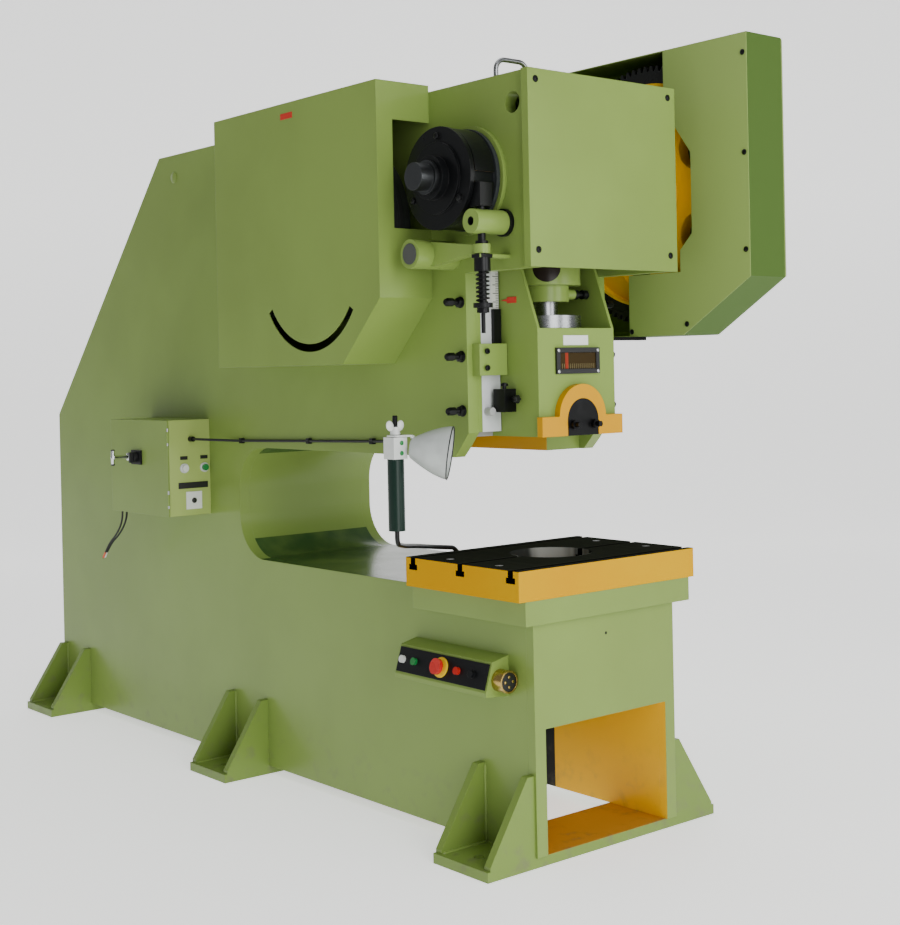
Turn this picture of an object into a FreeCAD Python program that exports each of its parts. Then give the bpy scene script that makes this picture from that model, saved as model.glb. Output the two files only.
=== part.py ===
import FreeCAD, Part
import math
import os
import re
import Sketcher
from FreeCAD import Placement, Rotation, Vector

# A deep-throat open-front stamping press: a welded frame of two C-shaped side plates, a crankshaft
# across the head, a guided ram over a T-slotted table, a bull gear in the right guard and a flywheel
# in the left one. Millimetres. X runs across the machine (+X is its right side seen from the front),
# the front faces -Y, Z is up. The origin is the centre of the foundation bolts, on the floor.

SIZES = {
    # feet and foundation bolts
    "pad_pitch": 1348, "pad_long": 232, "pad_half": 461, "pad_thick": 29, "anchor_x": 390,
    "anchor_radius": 15, "gusset_top": 256, "gusset_thick": 25, "gusset_flat": 26, "gusset_toe": 10,
    # side plates and the skin between them
    "face_x": 284, "plate": 40, "skin": 25, "arm_top": 738, "throat_top": 1125, "throat_back": 37,
    "throat_round": 150, "rear_face": 1477, "slope_low": 1225, "slope_start": 564, "head_top": 2202,
    "head_low": 1658, "head_reach": 254, "column_reach": 224, "column": 30, "window_top": 380,
    "lip_gap": 98, "lip_rise": 72, "lip_step": 30, "lift_hole": 30, "lift_hole_z": 2118,
    "lift_hole_reach": 183, "bail_wire": 7, "bail_high": 52, "bail_left": -268, "bail_right": -148,
    "bail_reach": 100, "bail_bend": 32,
    # the line through ram, table and crankshaft
    "work_y": -1247, "crank_z": 1919, "throw": 50,
    # table
    "table_half": 355, "table_deep": 495, "table_thick": 86, "seat_half": 332, "seat_low": 676,
    "seat_thick": 68, "table_hole": 122, "seat_hole": 130, "slot_pitch": 214, "slot_neck": 22,
    "slot_head": 38, "slot_deep": 36, "slot_head_deep": 16, "table_bolt_x": 300,
    "table_bolt_y": 107, "table_bolt": 8, "table_bolt_head": 13, "table_bolt_sink": 16,
    # guides
    "guide_front": 32, "block_front": 118, "block_long": 385, "slot_half": 104, "wing_side": 230,
    "gib_inner": 158, "gib_thick": 40, "guide_low": 1198, "guide_high": 1680, "gib_screw": 7,
    "gib_nut": 15, "gib_screw_y": 56, "gib_screw_low": 1261, "gib_screw_step": 157,
    "gib_screw_out": 58, "fit_gap": 0.3,
    # ram
    "ram_half": 155, "ram_reach": 128, "ram_low": 1183, "ram_floor": 1495, "ram_high": 1690,
    "cheek": 10, "cheek_slope": 74, "pocket_back": 112, "tongue": 207, "foot_plate": 22,
    "foot_half": 163, "foot_high": 57, "arch": 94, "arch_rise": 55, "clamp_half": 62,
    "clamp_rise": 45, "shank": 25, "shank_deep": 70, "split": 1, "clamp_stud_x": 42,
    "clamp_stud": 8, "clamp_nut": 13, "sight_z": 1400, "sight_half": 87, "sight_half_high": 38,
    "sight_rim": 14, "sight_thick": 8,
    # connecting rod and its screw
    "rod_clamp": 70, "rod_wide": 105, "rod_neck": 45, "rod_neck_deep": 80, "clamp_low": 1575,
    "clamp_high": 1623, "rod_shoulder": 1705, "screw": 36, "ball": 48, "ball_z": 1425,
    "nut_low": 1496, "nut_thick": 38, "nut_radius": 105, "pin": 42, "pin_gap": 1, "rod_rise": 11,
    "eye_wall": 36, "eye_half": 60, "lock_bolt_z": 1598, "lock_bolt_reach": 40,
    # crankshaft and its bearings
    "journal": 55, "web": 112, "web_in": 62, "web_thick": 36, "drum_seat": 48, "stub": 39,
    "stub_end": 494, "bush_out": 75, "run_gap": 0.05, "cap_out": 155, "cap_thick": 13,
    "crank_end": 572,
    # brake on the left end of the crankshaft
    "drum": 145, "drum_body": 133, "drum_far": 408, "drum_near": 300, "rim_thick": 14,
    "drum_dish": 101, "drum_hub": 62, "hub_end": 440, "lining": 5, "band": 4, "band_gap": 0.5,
    "band_far": 388, "band_near": 318,
    # gears, flywheel and motor
    "module_size": 8, "gear_teeth": 100, "pinion_teeth": 20, "gear_x": 446, "gear_wide": 100,
    "backlash": 1.4, "gear_web": 46, "gear_rim": 344, "gear_hub": 110, "hub_start": 310,
    "hub_stop": 560, "gear_bore": 70, "pinion_drop": 112, "pinion_journal": 35,
    "pinion_bush": 50, "pinion_seat": 30, "wheel": 262, "wheel_wide": 110, "wheel_x": -455,
    "wheel_recess": 36, "wheel_hub": 70, "wheel_rim": 205, "belt_wide": 14, "belt_thick": 10,
    "belt_pitch": 24, "pulley": 63, "motor_y": -330, "motor_z": 1575, "motor_radius": 108,
    "motor_left": -190, "motor_right": 140, "motor_shaft": 19, "motor_hole": 40,
    "motor_shelf": 1455, "shelf_thick": 15, "motor_foot": 100,
    # guards
    "gauge": 3, "left_guard_out": 479, "left_guard_front": 184, "left_guard_long": 896,
    "left_guard_low": 1403, "left_guard_top": 2221, "left_slope": 190, "notch_low": 1795,
    "notch_top": 2110, "notch_out": 421, "smile_radius": 259, "smile_y": 540, "smile_z": 1715,
    "smile_wide": 24, "right_guard_in": 430, "right_guard_out": 625, "right_guard_front": 426,
    "right_guard_long": 1033, "right_guard_low": 1473, "right_guard_top": 2360,
    "right_slope_y": 264, "right_slope_z": 166, "guard_round": 40, "opening_front": 202,
    "opening_low": 135, "opening_high": 113, "opening_step": 49, "opening_slope": 1.38,
    "strip_back": 97, "strip_low_back": 66, "strip_low_top": 1668,
    "bracket_wide": 30, "bracket_thick": 11, "bracket_gap": 480,
    # front cover
    "cover_half": 297, "cover_lip": 20, "cover_screw": 6, "cover_inset": 30, "cover_inset_low": 47,
    # pull rod of the brake release
    "pull_x": -371, "pull_reach": 143, "pull_radius": 11, "pull_low": 1480, "pull_high": 1849,
    "boss_radius": 34, "boss_z": 1787, "boss_out": 410, "boss_bore": 12, "lever_y": 90,
    "lever_z": 1712, "lever_radius": 42, "lever_pin": 30, "lever_out": 443, "lever_in": 346,
    "lever_thick": 26, "lever_eye": 24, "lever_root": 38, "spring_low": 1563, "spring_high": 1650,
    "spring_coil": 17, "spring_wire": 2.5, "spring_turns": 7, "cup_high": 1688,
    # scale and stop block beside the ram
    "scale_low": 1555, "scale_high": 1672, "scale_left": -189, "scale_right": -161,
    "bar_low": 1454, "block_low": 1362, "stop_left": -264, "stop_deep": 32, "cam_low": 1255,
    "cam_high": 1322, "cam_out": 200, "cam_reach": 32, "cam_knob_z": 1292,
    # electric box on the left plate
    "box_front": 237, "box_long": 431, "box_low": 877, "box_high": 1220, "box_out": 450,
    "box_wall": 4, "button_z": 1047, "button_radius": 12, "bezel": 17, "white_x": -391,
    "green_x": -309, "gland_x": -364, "gland_z": 1151, "handle_y": 525, "handle_z": 1083,
    "switch_y": 466,
    # control box on the base
    "desk_reach": 120, "desk_long": 413, "desk_top": 578, "desk_low": 462, "eave_x": 344,
    "eave_z": 565, "sill_x": 370, "sill_z": 482, "panel_inset": 7, "panel_thick": 4,
    "stop_head": 23, "stop_y": 85, "knob": 11,
    "socket_x": -318, "socket_z": 512, "socket": 32, "socket_long": 40,
    # lamp on the left of the throat
    "lamp_x": -488, "lamp_y": 114, "grip_low": 927, "grip": 24, "lamp_low": 1131,
    "lamp_high": 1193, "lamp_half": 24, "lamp_wire": 7, "lamp_base_x": -113,
    "lamp_base_y": 292, "shade": 76, "shade_neck": 28, "shade_long": 112, "shade_wall": 2,
    "shade_start": 45, "cable": 4.5, "supply_wire": 3.5,
}

doc = FreeCAD.newDocument("stamping_press")
sheet = doc.addObject("Spreadsheet::Sheet", "dims")
for row, (word, value) in enumerate(SIZES.items(), 1):
    sheet.set(f"A{row}", word)
    sheet.set(f"B{row}", str(value))
    sheet.setAlias(f"B{row}", word)
doc.recompute()
nodes = {}

# ---------------------------------------------------------------- helpers


def size(word):
    """A driving dimension, read from the sheet."""
    return float(sheet.get(word))


def ref(text):
    """An expression in which every driving dimension points at its cell."""
    def cell(found):
        return "dims." + found.group(0) if found.group(0) in SIZES else found.group(0)
    return re.sub(r"[a-z][a-z_0-9]*", cell, str(text))


def add(kind, label):
    """A new object; a label makes it a sub-part, no label a working shape."""
    thing = doc.addObject(kind, label or "blank")
    thing.Label = label or thing.Name
    if label:
        nodes[label] = thing
    return thing


def bind(thing, x="0", y="0", z="0", **sizes):
    """Tie an object's sizes and its place to the sheet."""
    for name, text in sizes.items():
        thing.setExpression(name, ref(text))
    for axis, text in (("x", x), ("y", y), ("z", z)):
        thing.setExpression("Placement.Base." + axis, ref(text))
    return thing


def box(x0, x1, y0, y1, z0, z1, label=None):
    """A box between two corners."""
    thing = add("Part::Box", label)
    return bind(thing, x0, y0, z0, Length=f"({x1}) - ({x0})", Width=f"({y1}) - ({y0})",
                Height=f"({z1}) - ({z0})")


TURN = {"x": Rotation(Vector(0, 1, 0), 90), "y": Rotation(Vector(1, 0, 0), -90),
        "z": Rotation()}


def rod(axis, radius, start, end, first, second, label=None):
    """A round bar along one axis; first and second are its other two coordinates."""
    thing = add("Part::Cylinder", label)
    thing.Placement = Placement(Vector(), TURN[axis])
    place = {"x": (start, first, second), "y": (first, start, second), "z": (first, second, start)}
    return bind(thing, *place[axis], Radius=radius, Height=f"({end}) - ({start})")


def cut(base, *tools, label=None):
    """The base less every tool."""
    thing = add("Part::Cut", label)
    thing.Base = base
    thing.Tool = tools[0] if len(tools) == 1 else fuse(*tools)
    return thing


def fuse(*parts, label=None):
    thing = add("Part::MultiFuse", label)
    thing.Shapes = list(parts)
    return thing


def common(base, tool, label=None):
    thing = add("Part::Common", label)
    thing.Base = base
    thing.Tool = tool
    return thing


def group(label, parts):
    """Several separate solids in one node."""
    thing = add("Part::Compound", label)
    thing.Links = list(parts)
    return thing


def ring(axis, bore, radius, start, end, first, second, label=None):
    """A round sleeve along one axis."""
    hole = rod(axis, bore, f"({start}) - 1", f"({end}) + 1", first, second)
    return cut(rod(axis, radius, start, end, first, second), hole, label=label)


def outline(body, role, points):
    """A closed sketch on one of the body's origin planes, each corner tied to the sheet."""
    sketch = body.newObject("Sketcher::SketchObject", "outline")
    for plane in body.Origin.OriginFeatures:
        if plane.Role == role:
            sketch.AttachmentSupport = (plane, [""])
            sketch.MapMode = "FlatFace"
    count = len(points)
    corners = []
    for index in range(count):
        turn = 2 * math.pi * index / count
        corners.append(Vector(100 * math.cos(turn), 100 * math.sin(turn), 0))
    for index in range(count):
        sketch.addGeometry(Part.LineSegment(corners[index], corners[(index + 1) % count]), False)
    for index in range(count):
        sketch.addConstraint(Sketcher.Constraint("Coincident", index, 2, (index + 1) % count, 1))
    for index, point in enumerate(points):
        for way, text, rough in (("X", point[0], corners[index].x),
                                 ("Y", point[1], corners[index].y)):
            tie = Sketcher.Constraint("Distance" + way, -1, 1, index, 1, rough)
            sketch.renameConstraint(sketch.addConstraint(tie), f"{way.lower()}{index}")
            sketch.setExpression(f"Constraints.{way.lower()}{index}", ref(text))
    return sketch


def round_edges(body, base, radius, wanted):
    """Round the edges of the last feature that pass the test."""
    doc.recompute()
    names = [f"Edge{number}" for number, edge in enumerate(base.Shape.Edges, 1) if wanted(edge)]
    fillet = body.newObject("PartDesign::Fillet", "round")
    fillet.Base = (base, names)
    fillet.setExpression("Radius", ref(radius))
    return fillet


def prism(plane, start, length, points, label=None, rim=None):
    """An outline pulled along its plane's normal; a third value in a point rounds that corner."""
    body = add("PartDesign::Body", label)
    sketch = outline(body, plane + "_Plane", points)
    pad = body.newObject("PartDesign::Pad", "pad")
    pad.Profile = sketch
    pad.Reversed = plane == "XZ"
    pad.setExpression("Length", ref(length))
    normal = {"YZ": "x", "XZ": "y", "XY": "z"}[plane]
    bind(body, **{normal: start})
    last = pad
    for radius in sorted({point[2] for point in points if len(point) == 3}):
        doc.recompute()
        places = [sketch.Placement.multVec(sketch.Geometry[index].StartPoint)
                  for index, point in enumerate(points) if len(point) == 3 and point[2] == radius]
        along = {"x": Vector(1, 0, 0), "y": Vector(0, 1, 0), "z": Vector(0, 0, 1)}[normal]

        def at_corner(edge, places=places, along=along):
            if len(edge.Vertexes) != 2:
                return False
            ends = [vertex.Point for vertex in edge.Vertexes]
            if abs(abs((ends[1] - ends[0]).dot(along)) - edge.Length) > 1e-6:
                return False
            return any((ends[0] - place).cross(along).Length < 1e-4 for place in places)

        last = round_edges(body, last, radius, at_corner)
    if rim:
        doc.recompute()
        far = last.Shape.BoundBox.XMax

        def at_rim(edge):
            return all(abs(vertex.X - far) < 1e-4 for vertex in edge.Vertexes)

        last = round_edges(body, last, rim, at_rim)
    body.Tip = last
    return body


def turned(axis, points, first, second, label=None):
    """A profile of (along, radius) points turned about an axis."""
    body = add("PartDesign::Body", label)
    role = "YZ_Plane" if axis == "y" else "XZ_Plane"
    flat = [(point[1], point[0]) for point in points] if axis == "z" else points
    sketch = outline(body, role, flat)
    lathe = body.newObject("PartDesign::Revolution", "lathe")
    lathe.Profile = sketch
    lathe.ReferenceAxis = (sketch, ["V_Axis" if axis == "z" else "H_Axis"])
    lathe.Angle = 360
    body.Tip = lathe
    place = {"x": {"y": first, "z": second}, "y": {"x": first, "z": second},
             "z": {"x": first, "y": second}}
    return bind(body, **place[axis])


def made(label, shape, place=Vector()):
    """A shape that Part's own functions make, from sizes read off the sheet."""
    thing = add("Part::Feature", label)
    thing.Shape = shape
    thing.Placement = Placement(place, Rotation())
    return thing


def span(side, near, far):
    """The X range from near to far, on the left (-1) or the right (1) of the machine."""
    return (near, far) if side > 0 else (f"-({far})", f"-({near})")


def bent_tube(points, radius, bend=None):
    """A round tube along straight runs and tangent arcs, and the radius of each arc."""
    edges = []
    radii = []
    here = points[0]
    for index in range(1, len(points) - 1):
        before = points[index] - points[index - 1]
        after = points[index + 1] - points[index]
        half = before.getAngle(after) / 2
        arc = bend or 0.45 * min(before.Length, after.Length) / math.tan(half)
        back = arc * math.tan(half)
        start = points[index] - before.normalize() * back
        stop = points[index] + after.normalize() * back
        inward = (after - before).normalize()
        middle = points[index] + inward * (arc / math.cos(half) - arc)
        edges.append(Part.LineSegment(here, start).toShape())
        edges.append(Part.Arc(start, middle, stop).toShape())
        radii.append(round(arc))
        here = stop
    edges.append(Part.LineSegment(here, points[-1]).toShape())
    path = Part.Wire(edges)
    aim = points[1] - points[0]
    section = Part.Wire([Part.makeCircle(radius, points[0], aim)])
    tube = path.makePipeShell([section], True, True)
    if abs(tube.Volume / (math.pi * radius ** 2 * path.Length) - 1) > 0.01:
        raise RuntimeError("a tube's volume does not match its length")
    return tube, radii


INNER = "(face_x - plate)"
RAM_FRONT = "(work_y - ram_reach)"
CENTRES = "(module_size*(gear_teeth + pinion_teeth)/2)"
PINION_Y = f"(work_y + sqrt({CENTRES}^2 - pinion_drop^2))"
PINION_Z = "(crank_z - pinion_drop)"
TABLE_TOP = "(seat_low + seat_thick + table_thick)"

# ---------------------------------------------------------------- frame


def foot(middle):
    """A floor plate across the machine with two gussets on each side and two bolt holes."""
    parts = [box("-pad_half", "pad_half", f"{middle} - pad_long/2", f"{middle} + pad_long/2", "0",
                 "pad_thick")]
    for side in (-1, 1):
        corners = [("face_x", "pad_thick"), ("pad_half - gusset_toe", "pad_thick"),
                   ("pad_half - gusset_toe", "pad_thick + gusset_toe"),
                   ("face_x + gusset_flat", "gusset_top"), ("face_x", "gusset_top")]
        points = [(f"{side}*({x})", z) for x, z in corners]
        for start in (f"{middle} - pad_long/2", f"{middle} + pad_long/2 - gusset_thick"):
            parts.append(prism("XZ", start, "gusset_thick", points))
    holes = [rod("z", "anchor_radius", "-1", "pad_thick + 1", f"{side}*anchor_x", middle)
             for side in (-1, 1)]
    return cut(fuse(*parts), *holes)


group("feet", [foot(middle) for middle in ("-pad_pitch", "0", "pad_pitch")])

plate_points = [
    ("work_y - column_reach + column", "pad_thick"), ("rear_face", "pad_thick"),
    ("rear_face", "slope_low"), ("slope_start", "head_top"), ("work_y - head_reach", "head_top"),
    ("work_y - head_reach", "head_low"), ("work_y + guide_front", "head_low"),
    ("work_y + guide_front", "throat_top + lip_rise"),
    ("work_y + lip_gap - lip_step", "throat_top + lip_step"), ("work_y + lip_gap", "throat_top"),
    ("throat_back", "throat_top", "throat_round"), ("throat_back", "arm_top", "throat_round"),
    ("work_y + table_deep/2", "arm_top"), ("work_y + table_deep/2", "seat_low"),
    ("work_y - column_reach + column", "seat_low")]
for name, side in (("left", -1), ("right", 1)):
    low, high = span(side, INNER, "face_x")
    through = (f"{low} - 1", f"{high} + 1")
    holes = [rod("x", "bush_out", *through, "work_y", "crank_z"),
             rod("x", "pinion_bush", *through, PINION_Y, PINION_Z),
             rod("x", "lift_hole", *through, "work_y - lift_hole_reach", "lift_hole_z")]
    for step in range(3):
        holes.append(rod("x", "gib_screw + run_gap", *through, "work_y + gib_screw_y",
                         f"gib_screw_low + {step}*gib_screw_step"))
    if side < 0:
        holes.append(rod("x", "motor_hole", *through, "motor_y", "motor_z"))
    cut(prism("YZ", low, "plate", plate_points), *holes, label="side_plate_" + name)

column = prism("XZ", "work_y - column_reach", "column", [
    ("-face_x", "pad_thick"), (f"-{INNER}", "pad_thick"), (f"-{INNER}", "window_top"),
    (INNER, "window_top"), (INNER, "pad_thick"), ("face_x", "pad_thick"),
    ("face_x", "seat_low"), ("-face_x", "seat_low")])
seat = cut(box("-seat_half", "seat_half", "work_y - table_deep/2", "work_y + table_deep/2", "seat_low",
        "seat_low + seat_thick"),
    rod("z", "seat_hole", "seat_low - 1", "seat_low + seat_thick + 1", "0", "work_y"))
fuse(column, seat, label="column_and_seat")
prism("YZ", f"-{INNER}", f"2*{INNER}", [
    ("work_y + table_deep/2", "arm_top"), ("throat_back", "arm_top", "throat_round"),
    ("throat_back", "throat_top", "throat_round"),
    ("work_y + block_front + block_long", "throat_top"),
    ("work_y + block_front + block_long", "throat_top + skin"),
    ("throat_back + skin", "throat_top + skin", "throat_round + skin"),
    ("throat_back + skin", "arm_top - skin", "throat_round + skin"),
    ("work_y + table_deep/2", "arm_top - skin")], label="throat_liner")
prism("YZ", f"-{INNER}", f"2*{INNER}", [
    ("work_y - head_reach", "head_top"), ("work_y - head_reach", "head_top - skin"),
    ("slope_start - skin/2", "head_top - skin"), ("rear_face - skin", "slope_low - skin/2"),
    ("rear_face - skin", "pad_thick"), ("rear_face", "pad_thick"), ("rear_face", "slope_low"),
    ("slope_start", "head_top")], label="rear_skin")

bail_y = size("work_y") - size("bail_reach")
bail_low = size("head_top")
bail_top = bail_low + size("bail_high")
bail, bail_radii = bent_tube([
    Vector(size("bail_left"), bail_y, bail_low), Vector(size("bail_left"), bail_y, bail_top),
    Vector(size("bail_right"), bail_y, bail_top), Vector(size("bail_right"), bail_y, bail_low)],
    size("bail_wire"), size("bail_bend"))
made("lifting_bail", bail)

# ---------------------------------------------------------------- table

slots = []
for step in (-1, 0, 1):
    middle = f"work_y + {step}*slot_pitch"
    for wide, low, high in (("slot_neck", f"{TABLE_TOP} - slot_deep", f"{TABLE_TOP} + 1"),
                            ("slot_head", f"{TABLE_TOP} - slot_deep",
                             f"{TABLE_TOP} - slot_deep + slot_head_deep")):
        slots.append(box("-table_half - 1", "table_half + 1", f"{middle} - {wide}/2",
                         f"{middle} + {wide}/2", low, high))
bolts = []
sinks = []
for x in ("-table_bolt_x", "table_bolt_x"):
    for y in ("work_y - table_bolt_y", "work_y + table_bolt_y"):
        seat = f"{TABLE_TOP} - table_bolt_sink"
        for radius, low, high in (("table_bolt + 0.5", "seat_low + seat_thick - 1", seat),
                                  ("table_bolt_head + 1", seat, f"{TABLE_TOP} + 1")):
            sinks.append(rod("z", radius, low, high, x, y))
        shank = rod("z", "table_bolt", "seat_low + seat_thick", seat, x, y)
        head = rod("z", "table_bolt_head", seat, f"{TABLE_TOP} - 1", x, y)
        bolts.append(fuse(shank, head))
cut(box("-table_half", "table_half", "work_y - table_deep/2", "work_y + table_deep/2",
        "seat_low + seat_thick", TABLE_TOP), *slots, *sinks,
    rod("z", "table_hole", "seat_low", f"{TABLE_TOP} + 1", "0", "work_y"), label="table")
group("table_bolts", bolts)

# ---------------------------------------------------------------- guides

screws = []
blocks = []
gibs = []
for side, block_low in ((-1, "ram_low"), (1, "throat_top")):
    block = span(side, "slot_half", INNER)
    flange = span(side, "wing_side", INNER)
    gib = span(side, "gib_inner", "wing_side")
    bores = []
    for step in range(3):
        height = f"gib_screw_low + {step}*gib_screw_step"
        bores.append(rod("x", "gib_screw + run_gap", f"{flange[0]} - 1", f"{flange[1]} + 1",
                         "work_y + gib_screw_y", height))
        shank = rod("x", "gib_screw", *span(side, "wing_side", "face_x + gib_screw_out"),
                    "work_y + gib_screw_y", height)
        nut = rod("x", "gib_nut", *span(side, "face_x", "face_x + gib_nut"),
                  "work_y + gib_screw_y", height)
        head = rod("x", "gib_nut - 3", *span(side, "face_x + 30", "face_x + gib_screw_out"),
                   "work_y + gib_screw_y", height)
        screws.append(fuse(shank, nut, head))
    blocks.append(cut(fuse(
        box(*block, "work_y + block_front", "work_y + block_front + block_long",
            block_low, "guide_high"),
        box(*flange, "work_y + guide_front", "work_y + block_front + 1", "guide_low",
            "guide_high")), *bores))
    gibs.append(box(*gib, "work_y + guide_front", "work_y + guide_front + gib_thick",
                    "guide_low", "guide_high"))
group("guide_blocks", blocks)
group("gibs", gibs)
group("gib_screws", screws)

# ---------------------------------------------------------------- ram

BACK = "(work_y + block_front - fit_gap)"
FOOT_FRONT = f"({RAM_FRONT} - foot_plate)"


def arch(half, rise, gap, front, back):
    """An upright block with a half-round top, seen from the front."""
    width = f"({half} + {gap})"
    return fuse(box(f"-{width}", width, front, back, "ram_low", f"ram_low + {rise}"),
                rod("y", width, front, back, "0", f"ram_low + {rise}"))


ram_blank = fuse(
    box("-ram_half", "ram_half", RAM_FRONT, BACK, "ram_low", "ram_high"),
    box("-(wing_side - fit_gap)", "wing_side - fit_gap",
        "work_y + guide_front + gib_thick + fit_gap", BACK, "ram_low", "ram_high"),
    box("-(slot_half - fit_gap)", "slot_half - fit_gap", f"{BACK} - 1", "work_y + tongue",
        "ram_low", "ram_high"),
    box("-foot_half", "foot_half", FOOT_FRONT, f"{RAM_FRONT} + 1", "ram_low",
        "ram_low + foot_high"),
    rod("y", "arch", FOOT_FRONT, f"{RAM_FRONT} + 1", "0", "ram_low + arch_rise"))
cut(ram_blank,
    box("-(ram_half - cheek)", "ram_half - cheek", f"{RAM_FRONT} - 1", "work_y + pocket_back",
        "ram_floor", "ram_high + 1"),
    prism("YZ", "-ram_half - 1", "2*ram_half + 2", [
        (f"{RAM_FRONT} - 1", "ram_floor"), (RAM_FRONT, "ram_floor"),
        (f"{RAM_FRONT} + cheek_slope", "ram_high"), (f"{RAM_FRONT} + cheek_slope", "ram_high + 1"),
        (f"{RAM_FRONT} - 1", "ram_high + 1")]),
    box("-arch - 1", "arch + 1", f"{FOOT_FRONT} - 1", f"{RAM_FRONT} + 2", "ram_low - arch",
        "ram_low"),
    rod("z", "ball + 1", "ball_z - ball - 1", "ram_floor + 1", "0", "work_y"),
    rod("z", "shank", "ram_low - 1", "ram_low + shank_deep", "0", "work_y"),
    arch("clamp_half", "clamp_rise", 0.5, f"{FOOT_FRONT} - 1", "work_y"), label="ram")
clamp = [arch("clamp_half", "clamp_rise", 0, FOOT_FRONT, "work_y - split")]
for x in ("-clamp_stud_x", "clamp_stud_x"):
    for radius, out in (("clamp_stud", 30), ("clamp_nut", 14)):
        clamp.append(rod("y", radius, f"{FOOT_FRONT} - {out}", f"{FOOT_FRONT} + 1", x,
                         "ram_low + 32"))
cut(fuse(*clamp),
    box("-clamp_half - 1", "clamp_half + 1", f"{FOOT_FRONT} - 1", "work_y",
        "ram_low - clamp_half", "ram_low"),
    rod("z", "shank", "ram_low - 1", "ram_low + shank_deep", "0", "work_y"),
    label="shank_clamp")
sight_z = ("sight_z - sight_half_high", "sight_z + sight_half_high")
cut(box("-sight_half", "sight_half", f"{RAM_FRONT} - sight_thick", RAM_FRONT, *sight_z),
    box("-(sight_half - sight_rim)", "sight_half - sight_rim", f"{RAM_FRONT} - sight_thick - 1",
        f"{RAM_FRONT} - sight_thick/2", f"{sight_z[0]} + sight_rim",
        f"{sight_z[1]} - sight_rim"), label="sight_window")

# ---------------------------------------------------------------- connecting rod

EYE_Z = "(crank_z + throw)"
eye_y = ("work_y - pin - pin_gap - eye_wall", "work_y + throw + pin + pin_gap + eye_wall")
slot_y = ("work_y + rod_rise - pin_gap", "work_y + throw - rod_rise + pin_gap")
lock_spot = ("work_y - lock_bolt_reach", "lock_bolt_z")
rod_blank = fuse(
    rod("x", "7", "0", "rod_clamp + 60", *lock_spot),
    rod("x", "15", "0", "rod_clamp + 20", *lock_spot),
    rod("x", "14", "rod_clamp + 42", "rod_clamp + 60", *lock_spot),
    rod("z", "rod_clamp", "clamp_low", "clamp_high + 1", "0", "work_y"),
    rod("z", "rod_wide", "clamp_high", "rod_shoulder", "0", "work_y"),
    box("-rod_neck", "rod_neck", "work_y - rod_neck_deep", "work_y + rod_neck_deep",
        "rod_shoulder - 1", EYE_Z),
    box("-eye_half", "eye_half", *eye_y, f"{EYE_Z} - pin - rod_rise - eye_wall",
        f"{EYE_Z} + pin + rod_rise + eye_wall"))
cut(rod_blank,
    box("-eye_half - 1", "eye_half + 1", *slot_y, f"{EYE_Z} - pin - rod_rise",
        f"{EYE_Z} + pin + rod_rise"),
    *[rod("x", "pin + rod_rise", "-eye_half - 1", "eye_half + 1", y, EYE_Z) for y in slot_y],
    rod("z", "screw + run_gap", "clamp_low - 1", "rod_shoulder - 10", "0", "work_y"),
    label="connecting_rod")
fuse(rod("z", "screw", "ball_z", "rod_shoulder - 12", "0", "work_y"),
     bind(add("Part::Sphere", None), "0", "work_y", "ball_z", Radius="ball"),
     label="ball_screw")
ring("z", "screw + run_gap", "nut_radius", "nut_low", "nut_low + nut_thick", "0", "work_y",
     label="lock_nut")

# ---------------------------------------------------------------- crankshaft and bearings

WEB_OUT = "(web_in + web_thick)"
fuse(rod("x", "stub", "-stub_end", "-hub_end", "work_y", "crank_z"),
     rod("x", "drum_seat", "-hub_end - 12", "-drum_near", "work_y", "crank_z"),
     rod("x", "journal", "-drum_near", f"-{WEB_OUT} + 1", "work_y", "crank_z"),
     rod("x", "web", f"-{WEB_OUT}", "-web_in", "work_y", "crank_z"),
     rod("x", "pin", "-web_in - 1", "web_in + 1", "work_y", EYE_Z),
     rod("x", "web", "web_in", WEB_OUT, "work_y", "crank_z"),
     rod("x", "journal", f"{WEB_OUT} - 1", "crank_end", "work_y", "crank_z"),
     rod("x", "gear_hub - 15", "hub_stop + 2", "crank_end", "work_y", "crank_z"),
     label="crankshaft")
bushes = []
caps = []
for side in (-1, 1):
    inside = span(side, INNER, "face_x")
    outside = span(side, "face_x", "face_x + cap_thick")
    bushes.append(ring("x", "journal + run_gap", "bush_out", *inside, "work_y", "crank_z"))
    bushes.append(ring("x", "pinion_journal + run_gap", "pinion_bush", *inside, PINION_Y,
                       PINION_Z))
    caps.append(ring("x", "journal + 3", "cap_out", *outside, "work_y", "crank_z"))
group("shaft_bearings", bushes + caps)

# ---------------------------------------------------------------- brake

turned("x", [
    ("-hub_end", "drum_seat"), ("-hub_end", "drum_hub"), ("-drum_far - 8", "drum_hub"),
    ("-drum_far - 8", "drum_dish"), ("-drum_far", "drum_dish"), ("-drum_far", "drum"),
    ("-drum_far + rim_thick", "drum"), ("-drum_far + rim_thick", "drum_body"),
    ("-drum_near - rim_thick + 2", "drum_body"), ("-drum_near - rim_thick + 2", "drum"),
    ("-drum_near", "drum"), ("-drum_near", "drum_seat")], "work_y", "crank_z",
    label="brake_drum")
LINING_IN = "(drum_body + band_gap)"
BAND_OUT = "(drum_body + band_gap + lining + band)"
PULL_Y = "(work_y - pull_reach)"
gap = box("-band_far - 1", "-band_near + 1", "work_y - band_far", "work_y - lining",
          "crank_z - 20", "crank_z + 8")
lug = cut(box("pull_x - 22", "pull_x + 22", f"{PULL_Y} - 22", f"{PULL_Y} + 22",
              "pull_high - 21", "pull_high + 45"),
          rod("x", f"{BAND_OUT} - 1", "pull_x - 30", "pull_x + 30", "work_y", "crank_z"))
cut(fuse(ring("x", LINING_IN, BAND_OUT, "-band_far", "-band_near", "work_y", "crank_z"), lug),
    gap, rod("z", "pull_radius + run_gap", "pull_high - 30", "pull_high + 16", "pull_x", PULL_Y),
    label="brake_band")

# ---------------------------------------------------------------- gears


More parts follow.
